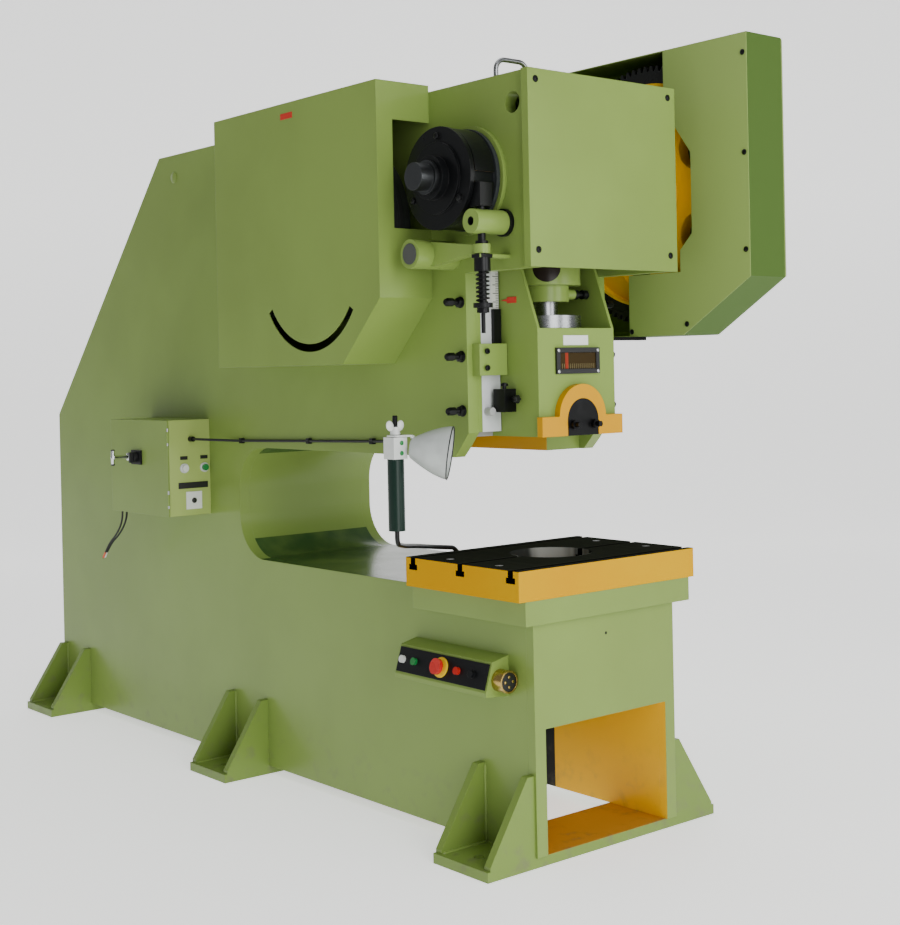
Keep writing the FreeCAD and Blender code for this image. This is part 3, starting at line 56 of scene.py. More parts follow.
def set_camera():
    """A standing eye in front of the press's left side."""
    yaw, pitch, roll = math.radians(39.68), math.radians(0.349), math.radians(1.199)
    ahead = Vector((math.sin(yaw) * math.cos(pitch), math.cos(yaw) * math.cos(pitch), -math.sin(pitch)))
    level = Vector((math.cos(yaw), -math.sin(yaw), 0))
    above = level.cross(ahead)
    right = level * math.cos(roll) - above * math.sin(roll)
    up = above * math.cos(roll) + level * math.sin(roll)
    camera = bpy.data.objects.new("camera", bpy.data.cameras.new("camera"))
    camera.data.lens = 58.34
    camera.data.sensor_width = 36
    camera.data.shift_y = -0.0918
    camera.data.clip_end = 60
    turn = Matrix((right, up, -ahead)).transposed().to_4x4()
    camera.matrix_world = Matrix.Translation((-3.0790, -4.5050, 1.3846)) @ turn
    bpy.context.collection.objects.link(camera)
    bpy.context.scene.camera = camera


set_camera()

# ---------------------------------------------------------------- surfaces


def tint(text):
    """A colour written as six hex digits, as linear values."""
    shares = [int(text[i:i + 2], 16) / 255 for i in (0, 2, 4)]
    return tuple(s / 12.92 if s <= 0.04045 else ((s + 0.055) / 1.055) ** 2.4 for s in shares) + (1,)


class Level:
    """One number that changes over a surface; arithmetic on it adds Math nodes."""

    def __init__(self, finish, socket):
        self.finish = finish
        self.socket = socket

    def _math(self, operation, first, second=0):
        node = self.finish.node("Math", {"operation": operation}, {0: first, 1: second})
        return Level(self.finish, node.outputs[0])

    def __add__(self, other):
        return self._math("ADD", self, other)

    __radd__ = __add__

    def __mul__(self, other):
        return self._math("MULTIPLY", self, other)

    __rmul__ = __mul__

    def __sub__(self, other):
        return self._math("SUBTRACT", self, other)

    def __rsub__(self, other):
        return self._math("SUBTRACT", other, self)

    def above(self, limit):
        return self._math("GREATER_THAN", self, limit)

    def below(self, limit):
        return self._math("LESS_THAN", self, limit)

    def size(self):
        return self._math("ABSOLUTE", self)

    def root(self):
        return self._math("SQRT", self)

    def cycle(self, step):
        """How far along its step the level is, from 0 to 1."""
        return self._math("FRACT", self * (1 / step))

    def ramp(self, low, high):
        """0 at low, 1 at high, smooth between them."""
        node = self.finish.node("MapRange", {"interpolation_type": "SMOOTHSTEP"},
                                {0: self, 1: low, 2: high, 3: 0.0, 4: 1.0})
        return Level(self.finish, node.outputs[0])


class Finish:
    """A material on a Principled shader, with its coordinates in the machine's own frame."""

    def __init__(self, name, **fixed):
        self.material = bpy.data.materials.new(name)
        self.material.use_nodes = True
        self.nodes = self.material.node_tree.nodes
        self.shader = self.nodes["Principled BSDF"]
        for socket, value in fixed.items():
            self.shader.inputs[socket.replace("_", " ")].default_value = value
        self.place = self.node("TexCoord").outputs["Object"]

    def node(self, kind, settings=None, inputs=None):
        """A new node of a kind, with its settings and then the values or links of its sockets."""
        node = self.nodes.new("ShaderNode" + kind)
        for name, value in (settings or {}).items():
            setattr(node, name, value)
        for name, value in (inputs or {}).items():
            self.feed(node.inputs[name], value)
        return node

    def feed(self, socket, value):
        """Links a socket to a level or another socket, or sets its plain value."""
        value = value.socket if isinstance(value, Level) else value
        if isinstance(value, bpy.types.NodeSocket):
            self.material.node_tree.links.new(value, socket)
        else:
            socket.default_value = value

    def axes(self):
        """Left to right, front to back and up, in metres."""
        node = self.node("SeparateXYZ", None, {0: self.place})
        return [Level(self, output) for output in node.outputs]

    def noise(self, scale, detail=3.0, stretch=None):
        """A cloudy level, drawn out along the axes if it is stretched."""
        place = self.place
        if stretch:
            place = self.node("VectorMath", {"operation": "MULTIPLY"}, {0: place, 1: stretch}).outputs[0]
        node = self.node("TexNoise", None, {"Vector": place, "Scale": scale, "Detail": detail})
        return Level(self, node.outputs[0])

    def facing(self):
        """How much a surface faces up."""
        node = self.node("SeparateXYZ", None, {0: self.node("NewGeometry").outputs["Normal"]})
        return Level(self, node.outputs[2])

    def mix(self, share, first, second):
        """The first colour where the share is 0, the second where it is 1."""
        node = self.node("Mix", {"data_type": "RGBA"}, {0: share, 6: first, 7: second})
        return node.outputs[2]

    def finish(self, colour, roughness, height=None, depth=0.0003, edge=0.0025):
        """Connects what varies, with rounded-looking edges under the bump."""
        self.feed(self.shader.inputs["Base Color"], colour)
        self.feed(self.shader.inputs["Roughness"], roughness)
        normal = self.node("Bevel", {"samples": 4}, {"Radius": edge}).outputs[0]
        if height is not None:
            bump = self.node("Bump", None, {"Height": height, "Distance": depth, "Normal": normal,
                                            "Strength": 0.6})
            normal = bump.outputs[0]
        self.feed(self.shader.inputs["Normal"], normal)
        return self.material


GREEN = tint("7d9548")
GREEN_SHADE = tint("768c43")
# A dark green painted as shade on the throat's floor, ceiling and edges.
DEEP_GREEN = tint("33502a")
YELLOW = tint("ca9200")
YELLOW_SHADE = tint("cc9c00")
# A brighter copy of the yellow: painted light that lifts the yellow inside the base and on the gear within
# its guard.
LIT_YELLOW = tint("ecb800")
BLACK = tint("0c0d0e")
STEEL = tint("b4b6b7")


def lit(colour, share, lift=0.0):
    """A colour made lighter or darker by a share."""
    return tuple(min(1, part * share + lift) for part in colour[:3]) + (1,)


def paint(name, colour, shade, zones=None, gloss=0.3, grime=0.3, shine=0.2):
    """Sprayed enamel: faint cloudiness, fine orange peel, dust low down; zones are other colours."""
    f = Finish(name, Coat_Weight=shine * 0.5, Coat_Roughness=0.15, Specular_IOR_Level=shine)
    x, y, z = f.axes()
    cloud = f.noise(1.7, 4.0)
    body = f.mix(cloud.ramp(0.35, 0.7), colour, shade)
    rough = f.noise(6.0, 5.0) * 0.14 + (gloss - 0.05)
    for mask, other, roughness in (zones(f, x, y, z) if zones else ()):
        body = f.mix(mask, body, other)
        rough = rough + mask * (roughness - gloss)
    dust = f.noise(22.0, 6.0).ramp(0.5, 0.75) * z.ramp(0.3, 0.0) * grime
    body = f.mix(dust, body, tint("6d6a58"))
    peel = f.noise(260.0, 2.0) + f.noise(9.0, 3.0) * 0.8
    return f.finish(body, rough + dust * 0.3, peel, 0.00035)


def metal(name, colour, roughness=0.3, grain=(1, 1, 1), stain=0.4):
    """Machined steel: fine directional tool marks and dull oil stains."""
    f = Finish(name, Metallic=1.0)
    streak = f.noise(90.0, 4.0, grain)
    blot = f.noise(7.0, 5.0).ramp(0.45, 0.72) * stain
    body = f.mix(blot, colour, lit(colour, 0.55))
    body = f.mix(streak * 0.25, body, lit(colour, 1.25))
    return f.finish(body, streak * 0.18 + blot * 0.25 + (roughness - 0.09), streak, 0.0002, 0.0015)


def coated(name, colour, roughness=0.4, fleck=0.0, **fixed):
    """Moulded plastic, rubber or blackened steel: a fine even grain and faint handling marks."""
    f = Finish(name, **fixed)
    mark = f.noise(14.0, 5.0).ramp(0.45, 0.75)
    body = f.mix(mark * 0.5, colour, lit(colour, 1.35, fleck))
    grain = f.noise(520.0, 2.0)
    return f.finish(body, mark * 0.15 + roughness, grain, 0.00015, 0.0015)


# Borders between finishes, in metres: each lies a hair beside a real edge.
INNER_X = 0.2445  # inner faces of the side plates
COLUMN_Y = -1.4705  # front of the column
BASE_Z = 0.70  # top of the hollow base
# Past this the inside of the base is painted black as shade.
YELLOW_TO_Y = -0.99  # where the yellow inside the base ends
THROAT_Z = 0.7395  # edges of the side plates beside the throat
TABLE_Z = 0.8285  # top of the table
SLOT_Z = 0.7935  # bottom of the table's slots
SLOT_PITCH = 0.214
GUARD_X = 0.4315  # flange of the gear guard
BAR_Z = 1.5552  # between the scale and the bar under it
PANEL_OUT = 0.5014  # the control panel's tilted face, along its own normal


def apart(first, second):
    """The squared distance from an axis, for its two offsets."""
    return first * first + second * second


def from_crank(y, z):
    """How far a surface is from the crank's axis."""
    return apart(y - WORK_Y * MM, z - CRANK_Z * MM).root()


def frame_zones(f, x, y, z):
    """The base is yellow inside, a brighter yellow as painted light, and deeper in it is painted black as
    shade; the throat's edge is painted dark green as shade; a small black disc is painted in front as the
    shade of a tapped hole.
    """
    low = z.below(BASE_Z) * z.above(0.0288)
    inside = x.size().below(INNER_X) * low * (1 - y.below(COLUMN_Y))
    # Deeper in, the inside is painted black as shade.
    bare = inside * y.above(YELLOW_TO_Y)
    # Upward faces of the throat's edge are painted dark green as shade.
    darkened = z.below(THROAT_Z) * z.above(BASE_Z) * f.facing().above(0.7) * x.size().below(0.285)
    # A small black disc painted as the shade of a tapped hole in the column's front.
    plug = apart(x, z - 0.616).below(0.0045 ** 2) * y.below(-1.40)
    return [(inside, LIT_YELLOW, 0.35), (bare, BLACK, 0.5), (darkened, DEEP_GREEN, 0.22), (plug, BLACK, 0.5)]


def floor_zones(f, x, y, z):
    """The throat's upward faces low down and its downward faces high up are painted dark as shade, in
    patches; its back curve is left plain.
    """
    # Painted shade on the throat's floor and under its top.
    darkened = f.facing().above(0.55) * z.below(0.80) + f.facing().below(-0.55) * z.above(1.1)
    # The painted shade varies in patches.
    patchy = f.noise(5.0, 4.0).ramp(0.3, 0.6) * 0.35 + 0.65
    return [(darkened * patchy, DEEP_GREEN, 0.2)]


def foot_zones(f, x, y, z):
    """The floor plates are yellow between the side plates."""
    inside = x.size().below(INNER_X) * z.above(0.0285)
    return [(inside, tint("b9832a"), 0.5)]


def table_zones(f, x, y, z):
    """The top and the slots are unpainted dark steel, the slots' walls below the top painted near black as
    shade and the bore's wall dark grey as shade; the edges stay yellow.
    """
    top = z.above(TABLE_Z)
    for slot in (-1, 0, 1):
        groove = (y - (WORK_Y * MM + slot * SLOT_PITCH)).size().below(0.0192)
        top = top + groove * z.above(SLOT_Z) * x.size().below(0.3545)
    hollow = apart(x, y - WORK_Y * MM).below(0.1235 ** 2)
    scrape = f.noise(60.0, 5.0, (1, 0.08, 1)) * 0.5
    dark = f.mix(scrape, tint("22241e"), tint("3a3c34"))
    # The bore's wall is painted dark grey as the shade in the deep bore, streaked up and down.
    wall = f.mix(f.noise(8.0, 3.0, (1, 1, 0.2)).ramp(0.45, 0.6), tint("2c2e2b"), tint("8d8f8a"))
    # The slots' walls and floors below the top are painted near black as shade.
    return [(top.above(0.5), dark, 0.5), (z.below(TABLE_Z) * top.above(0.5), tint("0b0c0a"), 0.5),
            (hollow, wall, 0.3)]


def ram_zones(f, x, y, z):
    """The foot flange is yellow, the sliding faces are bare."""
    flange = y.below(-1.3757)
    rear = y.above(-1.1752) * x.size().above(0.1552)
    return [(flange, YELLOW, 0.3), (rear, tint("8e8f88"), 0.35)]


def guide_zones(f, x, y, z):
    """The faces beside the ram are yellow."""
    return [(x.size().below(0.1045), YELLOW, 0.35)]


def bearing_zones(f, x, y, z):
    """Bare bushes in the green bearing caps."""
    bush = from_crank(y, z).below(0.0762)
    return [(x.size().below(0.2838), tint("8c7a4c"), 0.35), (bush, tint("9b9c98"), 0.3)]


def gear_zones(f, x, y, z):
    """Greased black teeth round a yellow web, and a bronze bush."""
    reach = from_crank(y, z)
    teeth = reach.above(0.352)
    bush = reach.below(0.0705)
    return [(teeth, tint("191a19"), 0.25), (bush, tint("9a7a3a"), 0.35)]


def guard_zones(f, x, y, z):
    """The rim's front and sloped lower edge are painted darker as shade, the flange paler as painted light,
    the inside darker as painted shade, the brackets black.
    """
    # Downward-facing faces low on the guard, painted darker as shade with the front.
    slope = f.facing().below(-0.3) * z.below(1.75)
    # The rim's front and its sloped lower edge are painted darker as shade.
    edge = (y.below(-1.6720) + slope).above(0.5) * x.above(GUARD_X)
    # The flange is painted paler as light falling on it.
    flange = x.below(GUARD_X)
    # The inside faces that do not look up are painted darker as shade.
    shaded_inside = x.above(0.4325) * x.below(0.6235) * y.above(-1.6695) * y.below(-0.7) * f.facing().below(0.5)
    return [(shaded_inside, tint("5d7035"), 0.4), (edge, tint("47602a"), 0.6), (flange, tint("90a75d"), 0.3),
            (z.below(1.4728), BLACK, 0.4)]


def drum_zones(f, x, y, z):
    """A black flange and dish, a darker barrel and a lighter grey rear rim."""
    barrel = x.above(-0.3935)
    rim = x.above(-0.3125)
    return [(barrel, tint("101214"), 0.3), (rim, tint("303335"), 0.3)]


def mount_zones(f, x, y, z):
    """Black spring cup, ring and cable clips beside the green bosses, and a dull steel pin."""
    clip = z.below(1.25)
    near_rod = apart(x + 0.371, y + 1.39).below(0.029 ** 2)
    cup = z.below(1.6995) * z.above(1.6495) * near_rod
    collar = x.above(-0.2962) * z.above(1.745) * y.below(-1.345)
    bore = x.below(-0.3905) * z.above(1.74) * apart(y + 1.39, z - 1.787).below(0.0123 ** 2)
    pin = x.below(-0.3462) * z.below(1.745) * y.above(-1.21)
    return [(clip, BLACK, 0.45), (cup, BLACK, 0.35), (collar, BLACK, 0.35), (bore, BLACK, 0.5),
            (pin, tint("4b4d4a"), 0.3)]


def rod_zones(f, x, y, z):
    """The clamp's bolt is black in the green casting, the eye is dull, and a dark brown round patch lies on
    its front.
    """
    bolt = x.above(0.0752) * z.below(1.62)
    eye = z.above(1.80)
    along = (x + 0.068) * 0.766 - (y + 1.327) * 0.643
    # A dark brown round patch on the front.
    darkened = apart(along, z - 1.672).below(0.041 ** 2) * y.below(-1.28)
    return [(bolt, BLACK, 0.35), (eye, tint("4c5243"), 0.3), (darkened, tint("1d1410"), 0.3)]


def lamp_zones(f, x, y, z):
    """A green grip on the lower end of a black rod."""
    grip = z.above(0.9262) * apart(x + 0.488, y + 1.133).below(0.026 ** 2)
    return [(grip, tint("08231a"), 0.3)]


def band_zones(f, x, y, z):
    """Woven lining inside a steel band."""
    return [(from_crank(y, z).below(0.1387), tint("6b5a41"), 0.8)]


def stop_zones(f, x, y, z):
    """A pale scale over a black bar, a green stop and a pale button."""
    scale = z.above(BAR_Z)
    bar = z.below(BAR_Z) * z.above(1.4542)
    button = z.below(1.30)
    return [(scale, tint("d9dbd2"), 0.4), (bar, BLACK, 0.35), (button, tint("a8aaa8"), 0.3)]


def box_zones(f, x, y, z):
    """The front is painted paler as light falling on it, with chrome bezels and a black gland on the green
    box.
    """
    proud = y.below(0.2368)
    high = z.above(1.1)
    # The front is painted paler than the sides as light falling on it.
    front = y.below(0.2385)
    return [(front, tint("9db062"), 0.3), (proud, tint("c9cbcc"), 0.2), (proud * high, BLACK, 0.45)]


def door_zones(f, x, y, z):
    """The switch's plate is black."""
    return [(x.below(-0.4558) * y.above(0.3), BLACK, 0.4)]


def panel_zones(f, x, y, z):
    """A black panel with a yellow ring and a red lens."""
    ring = (y + 1.162).size().below(0.0292)
    lens = (y + 1.236).size().below(0.0112)
    out = (x * -0.9543 + z * 0.2989).above(PANEL_OUT)
    return [(ring * out, tint("f0c81d"), 0.3), (lens * out, tint("b3241c"), 0.2)]


def dial_zones(f, x, y, z):
    """Pale graduations along the lower edge of a brown dial and a red index."""
    ticks = x.cycle(0.008).below(0.18) * z.below(1.3915)
    index = (x + 0.045).size().below(0.006)
    return [(ticks, tint("7d744f"), 0.4), (index, tint("8a2f1c"), 0.35)]


def scale_zones(f, x, y, z):
    """Black graduations, every fifth one longer, on the front of the scale."""
    fine = z.cycle(0.005).below(0.3) * x.above(-0.1725)
    coarse = z.cycle(0.025).below(0.08) * x.above(-0.1835)
    return [((fine + coarse).above(0.5), tint("1b1c1c"), 0.4)]


FINISHES = {
    "frame_green": paint("frame_green", GREEN, GREEN_SHADE, frame_zones),
    "green": paint("green_enamel", GREEN, GREEN_SHADE),
    "throat": paint("throat_green", GREEN, GREEN_SHADE, floor_zones),
    "feet": paint("foot_green", tint("748c40"), tint("6c833b"), foot_zones, 0.34, 0.5),
    "table": paint("table_yellow", YELLOW, YELLOW_SHADE, table_zones, 0.4, 0.3, 0.0),
    "ram": paint("ram_green", GREEN, GREEN_SHADE, ram_zones, 0.35, 0.3, 0.15),
    "guides": paint("guide_green", GREEN, GREEN_SHADE, guide_zones),
    "gear": paint("gear_yellow", LIT_YELLOW, YELLOW_SHADE, gear_zones, 0.35, 0.3, 0.2),
    "guard": paint("guard_green", GREEN, GREEN_SHADE, guard_zones, 0.3, 0.3, 0.1),
    "wheel": paint("wheel_grey", tint("2a2c2b"), tint("232524"), None, 0.35),
    "drum": paint("drum_black", BLACK, tint("121315"), drum_zones, 0.28),
    "mounts": paint("mount_green", GREEN, GREEN_SHADE, mount_zones),
    "rod": paint("rod_green", GREEN, GREEN_SHADE, rod_zones),
    "band": paint("band_black", BLACK, tint("141617"), band_zones),
    "stops": paint("stop_green", GREEN, GREEN_SHADE, stop_zones),
    "box": paint("box_green", GREEN, GREEN_SHADE, box_zones),
    "door": paint("door_green", GREEN, GREEN_SHADE, door_zones),
    "panel": paint("panel_black", BLACK, tint("131518"), panel_zones, 0.35),
    "bearing": paint("bearing_green", GREEN, GREEN_SHADE, bearing_zones),
    "motor": paint("motor_grey", tint("5d655f"), tint("535a55"), None, 0.4),
    "red": paint("red_enamel", tint("c3311f"), tint("b52c1c"), None, 0.35),
    "white": paint("white_enamel", tint("dfe1dc"), tint("d2d5d0"), None, 0.4),
    "ground": paint("ground_steel", tint("cdd0d1"), tint("a4a8aa"), None, 0.3, 0.0, 0.6),
    "steel": metal("bright_steel", STEEL, 0.28, (1, 1, 12)),
    "turned": metal("turned_steel", tint("8d8f90"), 0.26, (1, 1, 14), 0.2),
    "dark_steel": metal("dark_steel", tint("4d4f50"), 0.35, (1, 8, 1), 0.6),
    "chrome": metal("chrome", tint("d5d8da"), 0.1, (1, 1, 1), 0.1),
    "brass": metal("brass", tint("b79a5a"), 0.25, (1, 1, 1), 0.3),
    "black": coated("black_oxide", BLACK, 0.35, 0.01, Metallic=0.6),
    "plastic": coated("black_plastic", tint("0c0d0e"), 0.38),
    "rubber": coated("rubber", tint("0f1010"), 0.6, 0.01),
    "lamp_rod": paint("lamp_rod_black", BLACK, tint("131516"), lamp_zones),
    "pale": coated("pale_plastic", tint("d3d6d2"), 0.3, 0.0, Coat_Weight=0.3),
    "bell": coated("bell_grey", tint("aeb3b0"), 0.35, 0.0, Coat_Weight=0.2),
    "green_plastic": coated("green_plastic", tint("1e7a3a"), 0.25, Coat_Weight=0.4),
    "red_plastic": coated("red_plastic", tint("c4261d"), 0.25, Coat_Weight=0.4),
    "bulb": coated("bulb_glass", tint("efeee6"), 0.2, Coat_Weight=0.6),
    "orange": coated("orange_sleeve", tint("c8572a"), 0.45),
    "dial": paint("dial_brown", tint("33270f"), tint("2a1f0d"), dial_zones, 0.35, 0.0, 0.1),
    "scale": paint("scale_white", tint("dcded6"), tint("cfd2ca"), scale_zones, 0.4),
}

# The pieces of the frame that each finish covers.
CARRIED = {
    "frame_green": ("side_plate_left", "side_plate_right", "column_and_seat"),
    "green": ("rear_skin", "front_cover", "flywheel_guard", "control_box", "release_lever"),
    "guard": ("gear_guard",),
    "throat": ("throat_liner",), "feet": ("feet",), "table": ("table",), "ram": ("ram",),
    "guides": ("guide_blocks",), "gear": ("bull_gear",), "wheel": ("flywheel",),
    "drum": ("brake_drum",), "mounts": ("left_side_mounts",), "rod": ("connecting_rod",),
    "band": ("brake_band",), "stops": ("stop_block",), "box": ("electric_box",),
    "door": ("box_door",), "panel": ("control_panel",), "motor": ("motor",),
    "steel": ("pinion_shaft",), "ground": ("gibs",), "bearing": ("shaft_bearings",),
    "turned": ("ball_screw", "lock_nut", "motor_pulley", "lifting_bail"),
    "dark_steel": ("crankshaft", "table_bolts"),
    "black": ("gib_screws", "shank_clamp", "cam_block", "cover_screws", "return_spring", "pull_rod"),
    "plastic": ("star_knob", "switch_knob", "sight_window", "contactor_panel"),
    "chrome": ("door_handle",), "brass": ("desk_socket",),
    "pale": ("white_button", "start_button", "lamp_head", "wing_nut", "lamp_shade"),
    "green_plastic": ("green_button", "jog_button"), "red_plastic": ("stop_button",),
    "lamp_rod": ("lamp_stand",), "bulb": ("lamp_bulb",),
    "rubber": ("drive_belts", "lamp_cable", "supply_wire_left", "supply_wire_right"),
}
for finish, names in CARRIED.items():
    for name in names:
        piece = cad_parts[name]
        piece.data.materials.clear()
        piece.data.materials.append(FINISHES[finish])

# ---------------------------------------------------------------- making pieces


def add_piece(name, body, finish, shape, stands_for=(), smooth=True, edge=0.0):
    """A finished mesh that rides on a body; shape is a bmesh in the machine's frame."""
    mesh = bpy.data.meshes.new(name)
    bmesh.ops.recalc_face_normals(shape, faces=shape.faces)
    shape.to_mesh(mesh)
    shape.free()
    piece = bpy.data.objects.new(name, mesh)
    bpy.context.collection.objects.link(piece)
    mesh.materials.append(FINISHES[finish])
    if edge:
        bevel = piece.modifiers.new("edges", "BEVEL")
        bevel.width = edge
        bevel.segments = 2
        bevel.limit_method = "ANGLE"
        bevel.angle_limit = math.radians(40)
    if smooth:
        for face in mesh.polygons:
            face.use_smooth = True
        mesh.set_sharp_from_angle(angle=math.radians(38))
    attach(piece, body)
    if stands_for:
        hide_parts(*stands_for)
    return piece


def turned(shape, at, along, profile, sides=40, closed=False):
    """Adds a lathe form: profile is (distance along, radius), joined end to end if it is closed."""
    along = Vector(along).normalized()
    side = along.orthogonal().normalized()
    other = along.cross(side)
    rings = []
    for reach, radius in profile:
        middle = Vector(at) + along * reach
        if radius < 1e-6:
            rings.append([shape.verts.new(middle)])
            continue
        ring = []
        for step in range(sides):
            turn = 2 * math.pi * step / sides
            ring.append(shape.verts.new(middle + (side * math.cos(turn) + other * math.sin(turn)) * radius))
        rings.append(ring)
    if closed:
        rings.append(rings[0])
    for low, high in zip(rings, rings[1:]):
        for step in range(sides):
            after = (step + 1) % sides
            if len(low) == 1:
                shape.faces.new((low[0], high[step], high[after]))
            elif len(high) == 1:
                shape.faces.new((low[step], low[after], high[0]))
            else:
                shape.faces.new((low[step], low[after], high[after], high[step]))
    for ring, flip in ((rings[0], True), (rings[-1], False)):
        if len(ring) > 1 and not closed:
            shape.faces.new(ring[::-1] if flip else ring)


def block(shape, low, high):
    """Adds a flat plate or bar between two corners."""
    low, high = Vector(low), Vector(high)
    place = Matrix.Translation((low + high) / 2) @ Matrix.Diagonal((*(high - low), 1))
    bmesh.ops.create_cube(shape, size=1, matrix=place)


def prism(shape, outline, shift):
    """Adds a plate with an outline, as thick as the shift."""
    near = [shape.verts.new(point) for point in outline]
    far = [shape.verts.new(point + shift) for point in outline]
    shape.faces.new(near)
    shape.faces.new(far[::-1])
    for i in range(len(outline)):
        j = (i + 1) % len(outline)
        shape.faces.new((near[i], near[j], far[j], far[i]))


def hexagon(shape, at, along, radius, height):
    """Adds a hexagon head or nut with its corners chamfered and a low dome on it."""
    turned(shape, at, along, [(0, radius * 0.98), (height * 0.86, radius * 0.98),
                              (height, radius * 0.86)], 6)
    turned(shape, at, along, [(height * 0.99, radius * 0.8), (height * 1.15, radius * 0.55),
                              (height * 1.15, 0)], 18)


def wire(name, body, finish, points, radius, stands_for):
    """A round wire along its route as one smooth line."""
    curve = bpy.data.curves.new(name, "CURVE")
    curve.dimensions = "3D"
    curve.bevel_depth = radius
    curve.bevel_resolution = 5
    curve.resolution_u = 10
    curve.use_fill_caps = True
    line = curve.splines.new("NURBS")
    line.points.add(len(points) - 1)
    for point, at in zip(line.points, points):
        point.co = (*at, 1)
    line.order_u = 3
    line.use_endpoint_u = True
    piece = bpy.data.objects.new(name, curve)
    bpy.context.collection.objects.link(piece)
    curve.materials.append(FINISHES[finish])
    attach(piece, body)
    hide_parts(*stands_for)
    return piece


def mm(*values):
    """A place given in millimetres."""
    return Vector(values) * MM


# ---------------------------------------------------------------- cords


def supply_wires():
    """Two bare-ended wires that hang from the electric box."""
    top = 877
    for name, shift, drift in (("left", -9, -1), ("right", 9, 0)):
        route = [mm(-420 + shift, 640, top), mm(-420 + shift, 640, top - 26),
                 mm(-421 + 0.8 * shift, 662, top - 66), mm(-422 + 0.7 * shift, 706 + drift, top - 104),
                 mm(-424 + 0.6 * shift, 764 + 4 * drift, top - 139),
                 mm(-425 + 0.6 * shift, 812 + 8 * drift, top - 194)]
        lead = wire("supply_lead_" + name, "frame", "rubber", route, 0.0035,
                    ("supply_wire_" + name,))
        tail = bmesh.new()
        end, before = route[-1], route[-2]
        along = (end - before).normalized()
        turned(tail, end - along * 0.03, along, [(0, 0.0040), (0.028, 0.0042), (0.0295, 0.002),
                                                 (0.0297, 0)], 14)
        sleeve = add_piece("lead_sleeve_" + name, "frame", "orange" if name == "left" else "pale",
                           tail)


supply_wires()

# ---------------------------------------------------------------- fasteners


def gib_bolts():
    """Studs that set the gibs, each with a locknut against the plate and a hexagon head."""
    shape = bmesh.new()
    for side in (-1, 1):
        for z in (1261, 1418, 1575):
            at = mm(side * (FACE_X - 1), WORK_Y + 56, z)
            out = (side, 0, 0)
            turned(shape, at, out, [(0, 0.017), (0.004, 0.017), (0.0045, 0.0165)], 24)
            hexagon(shape, at + mm(side * 4, 0, 0), out, 0.0155, 0.012)
            turned(shape, at, out, [(0.012, 0.0066)] + [
                (0.014 + 0.0015 * i, 0.0072 if i % 2 else 0.0063) for i in range(12)], 16)
            hexagon(shape, at + mm(side * 31, 0, 0), out, 0.0128, 0.026)
    add_piece("gib_bolts", "frame", "black", shape, stands_for=("gib_screws",), edge=0.0006)


def screw_heads():
    """Domed screws round the front cover and along the gear guard's flange."""
    shape = bmesh.new()
    cover_y = WORK_Y - 260
    for side in (-1, 1):
        for z in (1705, 2172):
            turned(shape, mm(side * 267, cover_y, z), (0, -1, 0),
                   [(0, 0.0098), (0.001, 0.0098), (0.0011, 0.0066), (0.0028, 0.006), (0.0039, 0.0035),
                    (0.0039, 0.0026), (0.002, 0.0022), (0.002, 0)], 24)
    strip_y = WORK_Y - 411
    for y, z in ((strip_y, 2301), (strip_y, 2006), (strip_y, 1719), (WORK_Y - 176, 1506),
                 (WORK_Y + 56, 1489)):
        turned(shape, mm(430, y, z), (-1, 0, 0),
               [(-0.001, 0.0085), (0.0015, 0.0085), (0.0035, 0.006), (0.004, 0.003), (0.002, 0.0026),
                (0.002, 0)], 24)
    add_piece("cover_screw_heads", "frame", "black", shape, stands_for=("cover_screws",))


def drum_bolts():
    """Hexagon screws round the brake drum's flange."""
    shape = bmesh.new()
    pitch_radius = 118
    for angle in (93, 213, 333):
        y = WORK_Y + pitch_radius * math.cos(math.radians(angle))
        z = CRANK_Z + pitch_radius * math.sin(math.radians(angle))
        turned(shape, mm(-407, y, z), (-1, 0, 0), [(0, 0.0125), (0.002, 0.0125)], 24)
        hexagon(shape, mm(-409, y, z), (-1, 0, 0), 0.0105, 0.008)
    add_piece("drum_bolts", "crank", "black", shape, edge=0.0005)


def welds():
    """Rippled weld beads where the gussets and side plates stand on the floor plates."""
    shape = bmesh.new()

    def bead(start, end):
        start, end = mm(*start), mm(*end)
        long = (end - start).length
        steps = max(2, int(long / 0.006))
        profile = [(0, 0.001)] + [(long * i / steps, 0.0052 if i % 2 else 0.0044)
                                  for i in range(1, steps)] + [(long, 0.001)]
        turned(shape, start, end - start, profile, 7)

    gusset_y = 90  # inner faces of a foot's two gussets, from its middle
    gusset_out = 164
    gusset_top = 254
    for middle in (-FOOT_PITCH, 0, FOOT_PITCH):
        for side in (-1, 1):
            face = side * FACE_X
            wall = face + side
            for y in (middle - gusset_y, middle + gusset_y):
                bead((face, y, FOOT_TOP), (face + side * gusset_out, y, FOOT_TOP))
                bead((wall, y, FOOT_TOP), (wall, y, gusset_top))
            bead((wall, middle - gusset_y, FOOT_TOP), (wall, middle + gusset_y, FOOT_TOP))
    add_piece("weld_beads", "frame", "green", shape)


gib_bolts()
screw_heads()
drum_bolts()
welds()

# ---------------------------------------------------------------- ram, scale and stop


def stroke_pointer():
    """A red arrow on the ram that points at the scale."""
    shape = bmesh.new()
    outline = [(-1289, 1571), (-1250, 1571), (-1250, 1576), (-1222, 1580), (-1250, 1584),
               (-1250, 1589), (-1289, 1589)]
    prism(shape, [mm(-158, y, z) for y, z in outline], mm(3.5, 0, 0))
    add_piece("stroke_pointer", "ram", "red", shape, smooth=False, edge=0.0008)


def blank_label():
    """A blank white label over the sight window."""
    shape = bmesh.new()
    block(shape, mm(-54, -1376.2, 1445), mm(47, -1374.5, 1474))
    add_piece("blank_label", "ram", "white", shape, smooth=False, edge=0.0006)


